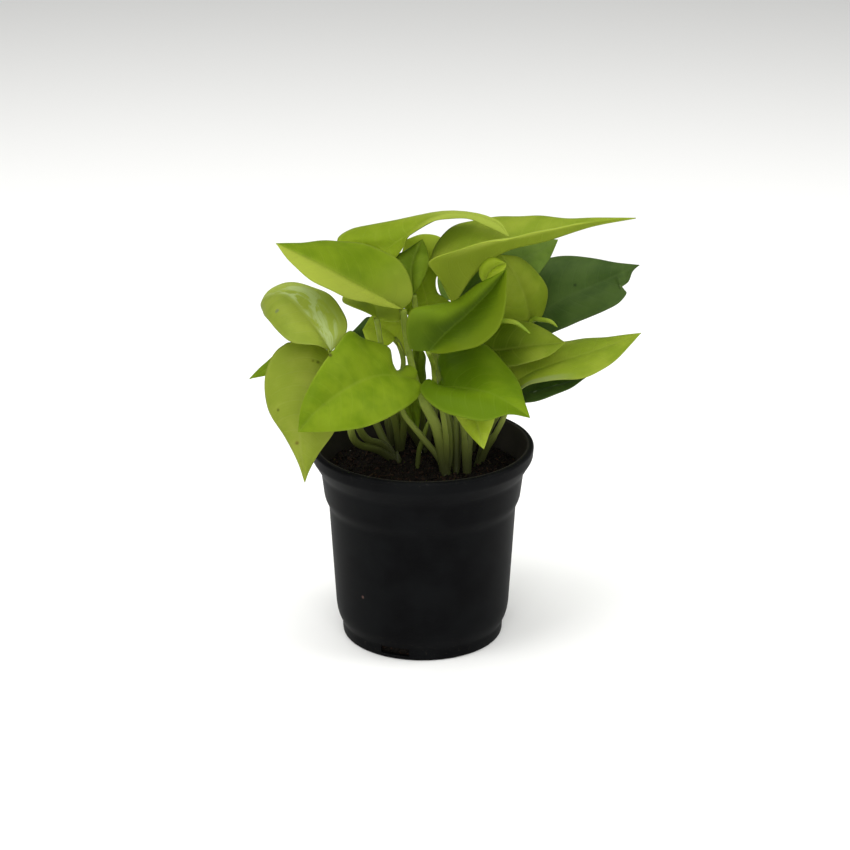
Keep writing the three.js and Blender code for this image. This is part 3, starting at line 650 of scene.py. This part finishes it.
# Where a place lies along the side veins, which leave the midrib at a slant and curve forward.
def veinSweep(alongLength, outward, side):
    sweep = alongLength - bladeFinish["veinLean"] * outward - bladeFinish["veinCurve"] * outward ** 2
    return sweep + 0.25 * side * bladeFinish["veinSpacing"]  # the veins of the two sides alternate


# How far the blade's middle surface lies above the straight line from midrib to margin.
def bladeLift(shape, along, share, length, outward, side, phase):
    belly = math.sin(math.pi * along)
    rise = math.hypot(share, shape["grooveRounding"]) - shape["grooveRounding"]
    lift = shape["cup"] * 4 * rise * (1 - share) * belly
    lift -= shape["channelDepth"] * math.exp(-((outward / shape["channelWidth"]) ** 2)) * belly
    beat = veinSweep(along * length, outward, side) / bladeFinish["veinSpacing"]
    quilt = abs(math.sin(math.pi * (beat + 0.5))) - shape["quiltMiddle"]
    lift += shape["quiltDepth"] * quilt * belly * math.sin(math.pi * min(share * shape["quiltEdge"], 1))
    wave = math.sin(2 * math.pi * along * length / shape["waveLength"] + phase + side)
    return lift + shape["waveHeight"] * wave * belly * share ** 2


def bladePiece(name, leaf, phase):
    shape = bladeShape
    midrib, midribTangent, length = railThrough(leaf["midrib"])
    base, tip = leaf["midrib"][0], leaf["midrib"][-1]
    left = railThrough([base, *leaf["left"], tip])[0]
    right, _, reach = railThrough([base, *leaf["right"], tip])
    rowCount = max(shape["leastRows"], round(max(length, reach) / shape["rowLength"]))
    bm = bmesh.new()
    placeLayer = bm.loops.layers.uv.new("bladePlace")
    shareLayer = bm.loops.layers.uv.new("bladeShare")
    grid = bmesh.ops.create_grid(bm, x_segments=shape["columns"], y_segments=rowCount, size=1)["verts"]
    sideOf = {face: -1 if face.calc_center_median().x < 0 else 1 for face in bm.faces}
    rows = {}
    facts = {}
    for vert in grid:
        row = round((vert.co.y + 1) / 2 * rowCount)
        along = row / rowCount
        if row not in rows:
            steady = min(max(along, shape["steadyEnds"]), 1 - shape["steadyEnds"])
            up = (right(steady) - left(steady)).cross(midribTangent(along)).normalized()
            rows[row] = midrib(along), left(along), right(along), up
        middle, leftMargin, rightMargin, up = rows[row]
        side = -1 if vert.co.x < 0 else 1
        share = abs(vert.co.x)
        margin = leftMargin if side < 0 else rightMargin
        outward = share * (margin - middle).length
        lift = bladeLift(shape, along, share, length, outward, side, phase)
        facts[vert] = (outward, along * length, share, along)
        vert.co = (middle.lerp(margin, share) + up * lift) * mm
    for face in bm.faces:
        for loop in face.loops:
            outward, alongLength, share, along = facts[loop.vert]
            loop[placeLayer].uv = (outward / 100, veinSweep(alongLength, outward, sideOf[face]) / 100)
            loop[shareLayer].uv = (0.5 + sideOf[face] * share / 2, along)
    bm.normal_update()
    half = {}
    for vert in grid:
        outward, alongLength, share, along = facts[vert]
        thickness = shape["thickness"] + (shape["rimThickness"] - shape["thickness"]) * share ** 3
        ridge = shape["ridgeHeight"] * (1 - along) * math.exp(-((outward / shape["ridgeWidth"]) ** 2))
        half[vert] = (thickness / 2, thickness / 2 + ridge, vert.normal.copy())
    lower = bmesh.ops.duplicate(bm, geom=bm.faces[:] + bm.edges[:] + bm.verts[:])
    lowerFaces = [item for item in lower["geom"] if isinstance(item, bmesh.types.BMFace)]
    for vert in grid:
        above, below, normal = half[vert]
        lower["vert_map"][vert].co -= normal * below * mm
        vert.co += normal * above * mm
    bmesh.ops.reverse_faces(bm, faces=lowerFaces)
    for face in lowerFaces:
        face.material_index = 1
    rowSize = shape["columns"] + 1
    for row in (0, rowCount):  # the base and the tip each close to a point
        for layer in (grid, [lower["vert_map"][vert] for vert in grid]):
            ring = layer[row * rowSize:(row + 1) * rowSize]
            bmesh.ops.pointmerge(bm, verts=ring, merge_co=ring[rowSize // 2].co)
    bmesh.ops.bridge_loops(bm, edges=[edge for edge in bm.edges if edge.is_boundary])
    smoothFaces(bm)
    return meshObject(name, bm, bladeSkins[leaf["tone"]])


for index, (name, leaf) in enumerate(leaves.items()):
    piece = bladePiece(name + "_blade", leaf, bladeShape["wavePhase"] * index)
    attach(piece, "root")
    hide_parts(name)
    leaf.get("slot", "lime_blade")
print("leaf blades done")


# Stem skins are smooth and slightly waxy, with fine pale lines that run up them and a few scars.
stemTones = {
    "petiole": {
        "light": "#78882a", "deep": "#64741e", "pale": "#838e40", "scar": "#6e6230", "low": "#242614",
    },
    "spear": {
        "light": "#8c9e30", "deep": "#728a20", "pale": "#748430", "scar": "#8a9638", "low": "#34381a",
    },
}
stemFinish = {
    "roughness": 0.5,
    "ior": 1.44,
    "specular": 0.2,
    "bump": 0.7,
    "streakWidth": 0.5,
    "streakLength": 16,
    "noises": ((7, 3, 0.6), (3.1, 4, 0.7)),  # blotches and scars: width, detail, roughness
    "low": (0.115, 0.085),  # metres: dark at the soil, partly painted shade
    "pale": (0.132, 0.11),  # the sheaths are paler than the petioles above them
}


# Petiole skin: pale olive with long pale lines, which goes dark and brown down at the soil: partly the
# stem's own base, partly painted shade under the leaves in the pot.
def stemMaterial(name, tone):
    finish = stemFinish
    material, tree, place = startMaterial(name)
    slim = finish["streakWidth"] / finish["streakLength"]
    stretched = addNode(tree, "Mapping", {"Vector": place, "Scale": (1, 1, slim)})
    streak = addNode(
        tree, "TexNoise", {"Vector": stretched, "Scale": perMm(finish["streakWidth"]), "Detail": 2},
    )
    blotch, scarring = [
        addNode(
            tree, "TexNoise", {"Vector": place, "Scale": perMm(size), "Detail": detail, "Roughness": rough},
        )
        for size, detail, rough in finish["noises"]
    ]
    height = addNode(tree, "SeparateXYZ", {0: place}).outputs[2]
    color = layColors(tree, tone["deep"], [
        ([(blotch, 0.35, 0.65)], 1, tone["light"]),
        ([(streak, 0.5, 0.72)], 0.4, tone["light"]),
        ([(height, *finish["pale"])], 0.8, tone["pale"]),
        ([(scarring, 0.66, 0.76)], 0.3, tone["scar"]),
        # painted shade in part: dark down at the soil
        ([(height, *finish["low"])], 0.93, tone["low"]),
    ])
    skin = addCoat(tree, finish, color, blotch, 0.2, [(streak, 0.14)])[0]
    addNode(tree, "OutputMaterial", {"Surface": skin})
    return material


stemSkins = [stemMaterial(name + "Skin", tone) for name, tone in stemTones.items()]

# Stems in the order of their leaves' petioles. A spur is a petiole end without a leaf.
stems = {
    "stem_front": {
        "foot": (11, -8), "radius": 2.8,
        "leaves": ["leaf_top_left", "leaf_center_bowl", "leaf_front_right", "leaf_front_center"],
    },
    "stem_front_middle": {
        "foot": (16, -4), "radius": 1.6,
        "leaves": ["leaf_top_right_folded", "leaf_shaded_small", "leaf_behind_center"],
    },
    "stem_front_right": {
        "foot": (21, -8), "radius": 2,
        "leaves": ["leaf_right_round", "leaf_young_curled", "leaf_right_middle", "leaf_under_front_right"],
        "spurs": [
            [(21.5, 8.6, 145.5), (30, 1, 154), (37, -4, 157), (43, -7, 157), (49.5, -9, 152.5)],
            [(46, 21, 140), (52, 19, 150), (55, 16, 151), (60, 13, 151), (63, 11, 149)],
        ],
    },
    "stem_young_spear": {
        "foot": (-2.5, 0), "radius": 1.1,
        "spurs": [
            [(-2.5, 0, 81), (-1.5, -1, 92), (0, -2, 97), (1.5, -2.5, 103), (3, -3, 108)],
        ],
    },
    "stem_right": {
        "foot": (26, 3), "radius": 1.9,
        "leaves": ["leaf_lower_right_long", "leaf_dark_lower_right"],
    },
    "stem_left": {
        "foot": (-12, 11), "radius": 2.2,
        "leaves": ["leaf_left_round", "leaf_front_left_hanging", "leaf_behind_hanging"],
    },
    "stem_middle": {
        "foot": (-11, 18), "radius": 2,
        "leaves": ["leaf_under_top_left", "leaf_behind_left", "leaf_shaded_low"],
    },
    "stem_back_right": {
        "foot": (23, 22), "radius": 2,
        "leaves": ["leaf_dark_upper_right", "leaf_green_behind_right", "leaf_back_low_right"],
    },
    "stem_back": {
        "foot": (1, 26), "radius": 2,
        "leaves": ["leaf_top_arch", "leaf_shaded_center", "leaf_back_low_middle", "leaf_back_high"],
    },
    "stem_back_left": {
        "foot": (-14, 30), "radius": 1.9,
        "leaves": ["leaf_dark_behind_left", "leaf_back_low_left", "leaf_back_high_left"],
    },
}

stemShape = {
    "sides": 14,
    "stubSides": 20,
    "ringLength": 1.6,  # millimetres between the rings of a petiole
    "petioleRadius": 1.35,
    "petioleTaper": (1.06, 0.18),
    "sheathRadius": 1.9,
    "sheathShare": 0.55,
    "sheathTaper": 0.12,
    "sheathEnd": 7,
    "spurRadius": 1.2,
    "grooveDepth": 0.22,
    "grooveAngle": 1.57,
    "grooveWidth": 0.42,
    "kneeSwell": 0.22,
    "kneeLength": 5,
    "stubDepth": 30,
    "stubHeight": 4,
    "stubTaper": 5,
    "rootDepth": 2,  # the petioles part below the soil
    "soilLevel": 83,
}


# A closed tube along the places; its radius is read from the share of its length.
def addTube(bm, places, radiusAt, sides, ringLength, groove=0.0, skin=0):
    placeAt, tangentAt, length = railThrough(places)
    rings = max(4, round(length / ringLength))
    tube = bmesh.new()
    bmesh.ops.create_cone(tube, cap_ends=True, segments=sides, radius1=1, radius2=1, depth=1)
    uprights = [edge for edge in tube.edges if abs(edge.verts[0].co.z - edge.verts[1].co.z) > 0.5]
    bmesh.ops.subdivide_edges(tube, edges=uprights, cuts=rings - 1)
    frames = []
    side = tangentAt(0).cross(Vector((0, 1, 0))).normalized()
    for i in range(rings + 1):
        tangent = tangentAt(i / rings)
        side = (side - tangent * side.dot(tangent)).normalized()
        frames.append((placeAt(i / rings), side, tangent.cross(side)))
    for vert in tube.verts:
        share = vert.co.z + 0.5
        angle = math.atan2(vert.co.y, vert.co.x)
        centre, right, ahead = frames[round(share * rings)]
        dip = math.exp(-((angle - stemShape["grooveAngle"]) / stemShape["grooveWidth"]) ** 2)
        radius = radiusAt(share, length) * (1 - groove * dip)
        vert.co = (centre + (right * math.cos(angle) + ahead * math.sin(angle)) * radius) * mm
    for face in tube.faces:
        face.material_index = skin
    tubeMesh = bpy.data.meshes.new("tube")
    tube.to_mesh(tubeMesh)
    tube.free()
    bm.from_mesh(tubeMesh)
    bpy.data.meshes.remove(tubeMesh)


def stemPiece(name, stem):
    shape = stemShape
    usual = (shape["sides"], shape["ringLength"])
    bm = bmesh.new()
    x, y = stem["foot"]
    level = shape["soilLevel"]
    top = level + shape["stubHeight"]
    stub = [(x, y, top - shape["stubDepth"]), (x, y, level), (x, y, top)]
    root = (x, y, level - shape["rootDepth"])

    def stubRadiusAt(share, length):
        return stem["radius"] * min(1, max((1.0001 - share) * length / shape["stubTaper"], 0) ** 0.7)

    addTube(bm, stub, stubRadiusAt, shape["stubSides"], 0.4 * shape["ringLength"])
    for leafName in stem.get("leaves", []):
        leaf = leaves[leafName]
        thick = leaf.get("thick", shape["petioleRadius"])
        wrap = leaf.get("sheath", shape["sheathRadius"])

        def stalkRadiusAt(share, length):  # swells at the knee under the leaf
            knee = shape["kneeSwell"] * math.exp(-(((1 - share) * length / shape["kneeLength"]) ** 2))
            return thick * (shape["petioleTaper"][0] - shape["petioleTaper"][1] * share) + knee

        def sheathRadiusAt(share, length):  # narrows to its open end
            close = min(1, (1.02 - share) * length / shape["sheathEnd"]) ** 0.6
            return wrap * (1 - shape["sheathTaper"] * share) * close

        places = [root, *leaf["route"], leaf["midrib"][0]]
        addTube(bm, places, stalkRadiusAt, *usual, shape["grooveDepth"])
        placeAt = railThrough(places)[0]
        sheath = [placeAt(shape["sheathShare"] * i / 8) for i in range(9)]
        addTube(bm, sheath, sheathRadiusAt, *usual, shape["grooveDepth"])
    for spur in stem.get("spurs", []):
        addTube(bm, spur, lambda share, length: shape["spurRadius"] * (1 - 0.8 * share ** 8), *usual, skin=1)
    smoothFaces(bm)
    return meshObject(name + "_skin", bm, stemSkins)


for name, stem in stems.items():
    piece = stemPiece(name, stem)
    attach(piece, "root")
    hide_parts(name)
print("stems done")


# The pot is injection moulded in black polypropylene.
potShape = {
    "height": 95.6,
    "rimRadius": 52.5,
    "lipHeight": 5.8,
    "lipWidth": 3.2,
    "collarTop": 82.5,
    "collarBottom": 68.5,
    "collarRadius": 47.8,
    "bodyTopRadius": 44.3,
    "bodyBottomRadius": 41.3,
    "footHeight": 7,
    "footRadius": 38.4,
    "wall": 1.4,
    "floor": 2,
    "segments": 144,
    "slotCount": 3,
    "slotSize": (5.2, 14, 3.8),
    "slotMiddle": 4.1,
    "slotFirstAngle": -110,
    "sharpAngle": 38,
}
potFinish = {
    "color": "#050506",
    "bloom": "#0b0c0d",
    "scuff": "#2a2b2c",
    "dust": "#38352f",
    "speck": "#5c4642",
    "speckPlace": (-27.9, -31.7, 30.1),
    "wallLean": 0.25,  # the inner wall leans out by this much of its height
    "wallFoot": 25.3,  # and would meet the ground at this radius, in millimetres
    "roughness": 0.5,
    "ior": 1.49,
    "specular": 0.035,
    "bump": 0.6,
    # clouds, scuffs, specks and grain: width, detail, roughness and how flat they are
    "noises": ((22, 4, 0.6, 1), (6, 5, 0.7, 9), (1.1, 3, 0.7, 1), (0.6, 2, 0.5, 1)),
}


# Black polypropylene: a fine satin grain from the mould, a few scuffs and some soil dust.
def potMaterial():
    finish = potFinish
    material, tree, place = startMaterial("blackPolypropylene")
    height = addNode(tree, "SeparateXYZ", {0: place}).outputs[2]
    noises = []
    for size, detail, rough, flat in finish["noises"]:
        pressed = addNode(tree, "Mapping", {"Vector": place, "Scale": (1, 1, flat)})
        noises.append(addNode(
            tree, "TexNoise",
            {"Vector": pressed, "Scale": perMm(size), "Detail": detail, "Roughness": rough},
        ))
    cloud, scuffing, specks, grain = noises
    dusting = [  # dust gathers at the foot and on the rim
        addNode(
            tree, "MapRange", {"Value": height, "From Min": low, "From Max": high, "To Max": most},
            interpolation_type="SMOOTHSTEP",
        )
        for low, high, most in ((0.016, 0.001, 0.5), (0.09, 0.0956, 0.3))
    ]
    dustMost = addNode(tree, "Math", {0: dusting[0], 1: dusting[1]}, operation="MAXIMUM")
    level = addNode(tree, "Mapping", {"Vector": place, "Scale": (1, 1, 0)})
    reach = addNode(tree, "VectorMath", {0: level}, operation="LENGTH").outputs["Value"]
    inward = addNode(tree, "Math", {0: height, 1: -finish["wallLean"], 2: reach}, operation="MULTIPLY_ADD")
    wallDust = 1
    for value, low, high in (
        (inward, (finish["wallFoot"] + 1.2) * mm, (finish["wallFoot"] + 0.6) * mm), (height, 0.076, 0.079),
    ):
        wallDust = addNode(
            tree, "MapRange", {"Value": value, "From Min": low, "From Max": high, "To Max": wallDust},
        )
    crumb = addNode(
        tree, "VectorMath", {0: place, 1: Vector(finish["speckPlace"]) * mm}, operation="DISTANCE",
    ).outputs["Value"]
    color = layColors(tree, finish["color"], [
        ([(cloud, 0.3, 0.7)], 1, finish["bloom"]),
        ([(scuffing, 0.66, 0.76)], 0.35, finish["scuff"]),
        ([(specks, 0.6, 0.7)], dustMost, finish["dust"]),
        ([(wallDust, 0, 1)], 0.65, finish["dust"]),
        ([(crumb, 1.0 * mm, 0.4 * mm)], 0.6, finish["speck"]),
    ])
    shell = addCoat(tree, finish, color, cloud, 0.14, [(scuffing, 0.02), (grain, 0.03)])[0]
    addNode(tree, "OutputMaterial", {"Surface": shell})
    return material


# Points of a profile as (radius, height); a third number rounds the corner by that much.
def roundedProfile(corners, steps=4):
    points = []
    for i, corner in enumerate(corners):
        here = Vector(corner[:2])
        if len(corner) < 3:
            points.append(here)
            continue
        before = Vector(corners[i - 1][:2]) - here
        after = Vector(corners[i + 1][:2]) - here
        cut = min(corner[2], 0.45 * before.length, 0.45 * after.length)
        start, end = here + before.normalized() * cut, here + after.normalized() * cut
        for k in range(steps + 1):
            t = k / steps
            points.append(start * (1 - t) ** 2 + here * 2 * t * (1 - t) + end * t ** 2)
    return points


def spunMesh(profile, segments):
    bm = bmesh.new()
    verts = [bm.verts.new((point.x * mm, 0, point.y * mm)) for point in profile]
    edges = [bm.edges.new(pair) for pair in zip(verts, verts[1:])]
    bmesh.ops.spin(
        bm, geom=verts + edges, cent=(0, 0, 0), axis=(0, 0, 1), angle=2 * math.pi,
        steps=segments, use_merge=True,
    )
    bmesh.ops.remove_doubles(bm, verts=bm.verts[:], dist=1e-6)
    smoothFaces(bm)
    return bm


def innerWall(gap):
    shape = potShape
    inset = shape["wall"] + gap
    return [
        (shape["footRadius"] - inset, shape["floor"] + gap),
        (shape["footRadius"] - inset, shape["footHeight"]),
        (shape["bodyBottomRadius"] - inset, shape["footHeight"] + 8),
        (shape["bodyTopRadius"] - inset, shape["collarBottom"] - 3),
        (shape["collarRadius"] - 1.5 - inset, shape["collarBottom"] + 4),
        (shape["collarRadius"] - inset, shape["collarTop"] + 2),
    ]


def potPiece():
    shape = potShape
    rim, lip, top = shape["rimRadius"], shape["lipWidth"], shape["height"]
    foot, body, collar = shape["footRadius"], shape["bodyBottomRadius"], shape["collarRadius"]
    corners = [
        (0, 0),
        (foot - 1, 0, 0.4),
        (foot - 0.2, 0.8, 0.5),
        (foot, 3, 1.5),
        (foot, shape["footHeight"] - 1, 1),
        (body - 0.8, shape["footHeight"] + 3.5, 2),
        (body, shape["footHeight"] + 8, 3),
        (shape["bodyTopRadius"], shape["collarBottom"] - 3, 1.6),
        (collar - 1.5, shape["collarBottom"] + 1.5, 1.9),
        (collar, shape["collarTop"], 1.5),
        (rim - 0.4, top - shape["lipHeight"], 0.9),
        (rim, top - 1, 0.8),
        (rim - 0.8, top, 0.5),
        (rim - lip, top, 0.5),
        (rim - lip - 0.6, top - 2, 0.5),
        *[(*point, 0.6) for point in reversed(innerWall(0))],
        (0, shape["floor"]),
    ]
    pot = meshObject("pot_shell", spunMesh(roundedProfile(corners), shape["segments"]), [potMaterial()])
    for i in range(shape["slotCount"]):
        cutter = bmesh.new()
        bmesh.ops.create_cube(cutter, size=1)
        bmesh.ops.scale(cutter, vec=Vector(shape["slotSize"]) * mm, verts=cutter.verts[:])
        bmesh.ops.translate(cutter, vec=Vector((foot, 0, shape["slotMiddle"])) * mm, verts=cutter.verts[:])
        angle = math.radians(shape["slotFirstAngle"] + i * 360 / shape["slotCount"])
        bmesh.ops.rotate(cutter, matrix=Matrix.Rotation(angle, 3, "Z"), verts=cutter.verts[:])
        block = meshObject("slot_cutter", cutter, [])
        cut = pot.modifiers.new("slot", "BOOLEAN")
        cut.object, cut.operation, cut.solver = block, "DIFFERENCE", "EXACT"
        solid = bpy.data.meshes.new_from_object(pot.evaluated_get(bpy.context.evaluated_depsgraph_get()))
        pot.modifiers.clear()
        pot.data = solid
        bpy.data.objects.remove(block)
    pot.data.set_sharp_from_angle(angle=math.radians(shape["sharpAngle"]))
    return pot


pot = potPiece()
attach(pot, "root")
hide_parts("pot")
print("pot done")


# The soil is a peat potting mix with bark, fibres and a little perlite.
soilShape = {
    "level": 83,
    "bump": 1.2,
    "crown": 2,
    "gap": 0.3,
    "rings": 110,
    "segments": 260,
    "clodSize": 5.5,
    "clodHeight": 1.5,
    "crumbSize": 1.6,
    "crumbHeight": 0.55,
}
soilFinish = {
    "dark": "#0b0a08",
    "light": "#1e1813",
    "brown": "#38241a",
    "grainSize": 0.9,
    "patchSize": 7,
    "roughness": 0.92,
    "ior": 1.4,
    "specular": 0.1,
    "bump": 1,
}


def soilHeight(x, y, edge):
    shape = soilShape
    waves = math.sin(0.23 * x + 1) * math.cos(0.19 * y) + 0.6 * math.sin(0.41 * y + 0.5 * x)
    inside = max(1 - math.hypot(x, y) / edge, 0)
    crown = shape["crown"] * (math.sqrt(inside) - 1)
    clods = noise.fractal(Vector((x, y, 3)) / shape["clodSize"], 0.6, 2.2, 4)
    crumbs = noise.noise(Vector((x, y, 9)) / shape["crumbSize"])
    rough = (shape["clodHeight"] * clods + shape["crumbHeight"] * crumbs) * min(inside * 12, 1)
    return shape["level"] + crown + shape["bump"] * waves + rough


# Damp peat: almost black, matt and crumbly, with a few browner grains.
def soilMaterial(name, finish):
    material, tree, place = startMaterial(name)
    grains = addNode(tree, "TexVoronoi", {"Vector": place, "Scale": perMm(finish["grainSize"])})
    shade = addNode(tree, "SeparateXYZ", {0: grains.outputs["Color"]})
    patch = addNode(
        tree, "TexNoise",
        {"Vector": place, "Scale": perMm(finish["patchSize"]), "Detail": 4, "Roughness": 0.65},
    )
    lightShare = addNode(tree, "Math", {0: shade.outputs[0], 1: patch}, operation="MULTIPLY")
    brownShare = addNode(
        tree, "MapRange", {"Value": shade.outputs[1], "From Min": 0.88, "From Max": 0.96, "To Max": 0.5},
    )
    layers = [([], lightShare, finish["light"]), ([], brownShare, finish["brown"])]
    color = layColors(tree, finish["dark"], layers)
    reliefs = [(patch, 0.4), (grains.outputs["Distance"], -0.5)]
    earth = addCoat(tree, finish, color, shade.outputs[2], 0.12, reliefs)[0]
    addNode(tree, "OutputMaterial", {"Surface": earth})
    return material


def soilPiece():
    shape = soilShape
    wall = innerWall(shape["gap"])
    edge = wall[-1][0] - 2 * shape["gap"]
    low = shape["level"] - shape["crown"]
    rings = [(edge * i / shape["rings"], low) for i in range(shape["rings"], -1, -1)]
    profile = [Vector(point) for point in [(0, potShape["floor"] + shape["gap"]), *wall[:-1], *rings]]
    bm = spunMesh(profile, shape["segments"])
    for vert in bm.verts:
        if vert.co.z > (low - 0.01) * mm:
            vert.co.z = soilHeight(vert.co.x / mm, vert.co.y / mm, edge) * mm
    return meshObject("soil_bed", bm, [soilMaterial("dampPeat", soilFinish)])


soil = soilPiece()
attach(soil, "root")
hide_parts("soil")

looseFinish = {"grainSize": 0.8, "roughness": 0.9}
looseBits = {
    "peat_crumbs": {
        "count": 1100, "size": (0.5, 1.5), "stretch": (1, 0.8, 0.7), "dark": "#0c0a08", "light": "#211a14",
        "seed": 3,
    },
    "bark_chips": {
        "count": 90, "size": (1.2, 2.8), "stretch": (1, 0.45, 0.22), "dark": "#17110d", "light": "#3a2a20",
        "seed": 5,
    },
    "root_fibres": {
        "count": 70, "size": (2.5, 4.5), "stretch": (1, 0.07, 0.07), "dark": "#251c14", "light": "#4d3f2e",
        "seed": 7,
    },
    "perlite_grains": {
        "count": 7, "size": (0.7, 1.1), "stretch": (1, 0.9, 0.8), "dark": "#77736b", "light": "#b8b5ad",
        "seed": 11, "places": [(34.5, 0.5), (-20, -18)],
    },
}


def loosePiece(name, bit):
    draw = random.Random(bit["seed"])
    places = bit.get("places", [])
    edge = innerWall(soilShape["gap"])[-1][0] - 2
    bm = bmesh.new()
    for i in range(bit["count"]):
        reach = edge * math.sqrt(draw.random())
        turn = draw.uniform(0, 2 * math.pi)
        x, y = places[i] if i < len(places) else (reach * math.cos(turn), reach * math.sin(turn))
        size = draw.uniform(*bit["size"])
        grain = bmesh.ops.create_icosphere(bm, subdivisions=1, radius=1)["verts"]
        for vert in grain:
            vert.co *= draw.uniform(0.72, 1.15)
        bmesh.ops.scale(bm, vec=[size * side * mm for side in bit["stretch"]], verts=grain)
        for axis in "XYZ":
            angle = draw.uniform(0, 6.28) if axis == "Z" else draw.uniform(-0.5, 0.5)
            bmesh.ops.rotate(bm, matrix=Matrix.Rotation(angle, 3, axis), verts=grain)
        z = soilHeight(x, y, edge + 2) + 0.35 * size * bit["stretch"][2]
        bmesh.ops.translate(bm, vec=(x * mm, y * mm, z * mm), verts=grain)
    return meshObject(name, bm, [soilMaterial(name + "Surface", {**soilFinish, **bit, **looseFinish})])


for name, bit in looseBits.items():
    piece = loosePiece(name, bit)
    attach(piece, "root")
print("soil done")


# Floor, light and camera.
studio = {
    "floorColor": "#f4f4f2",
    "floorCloud": "#ebebe8",
    "worldColor": "#ffffff",
    "worldStrength": 0.36,
    "cameraPlace": (0.00122, -1.1, 0.519),
    "cameraTilt": 69.34,
    "lens": 106.1,
    "sensor": 36,
}
lamps = {
    "overhead": {"place": (-0.25, 0.05, 1.5), "size": (1.5, 1.5), "power": 21, "target": (0, 0, 0.12)},
    "front": {"place": (0.1, -1.5, 0.9), "size": (1.2, 0.9), "power": 15, "target": (0, 0, 0.12)},
    "left": {"place": (-1.1, -0.7, 0.8), "size": (0.8, 1.0), "power": 7, "target": (0, 0, 0.1)},
    "right": {"place": (1.1, -0.1, 0.9), "size": (0.8, 1.0), "power": 8, "target": (0, 0, 0.1)},
}


# Seamless studio paper: matt and very slightly cloudy.
def floorMaterial():
    material, tree, place = startMaterial("seamlessPaper")
    cloud = addNode(tree, "TexNoise", {"Vector": place, "Scale": perMm(300), "Detail": 2})
    share = addNode(tree, "Math", {0: cloud, 1: 0.1}, operation="MULTIPLY")
    color = layColors(tree, studio["floorColor"], [([], share, studio["floorCloud"])])
    paper = addNode(
        tree, "BsdfPrincipled", {"Base Color": color, "Roughness": 0.9, "Specular IOR Level": 0.2},
    )
    addNode(tree, "OutputMaterial", {"Surface": paper})
    return material


floorMesh = bmesh.new()
bmesh.ops.create_grid(floorMesh, x_segments=2, y_segments=2, size=8)
floor = meshObject("floor", floorMesh, [floorMaterial()])

world = bpy.data.worlds.new("studioWorld")
world.use_nodes = True
tree = world.node_tree
tree.nodes.clear()
sky = addNode(
    tree, "Background", {"Color": linearColor(studio["worldColor"]), "Strength": studio["worldStrength"]},
)
addNode(tree, "OutputWorld", {"Surface": sky})
scene.world = world

for name, lamp in lamps.items():
    light = bpy.data.lights.new(name + "Softbox", "AREA")
    light.shape = "RECTANGLE"
    light.size, light.size_y = lamp["size"]
    light.energy = lamp["power"]
    holder = bpy.data.objects.new(name + "Softbox", light)
    holder.location = lamp["place"]
    aim = Vector(lamp["target"]) - Vector(lamp["place"])
    holder.rotation_euler = aim.to_track_quat("-Z", "Y").to_euler()
    scene.collection.objects.link(holder)

cameraData = bpy.data.cameras.new("camera")
cameraData.lens = studio["lens"]
cameraData.sensor_width = studio["sensor"]
cameraData.clip_start = 0.01
camera = bpy.data.objects.new("camera", cameraData)
camera.location = studio["cameraPlace"]
camera.rotation_euler = (math.radians(studio["cameraTilt"]), 0, 0)
scene.collection.objects.link(camera)
scene.camera = camera
scene.view_settings.view_transform = "Standard"
print("studio done")
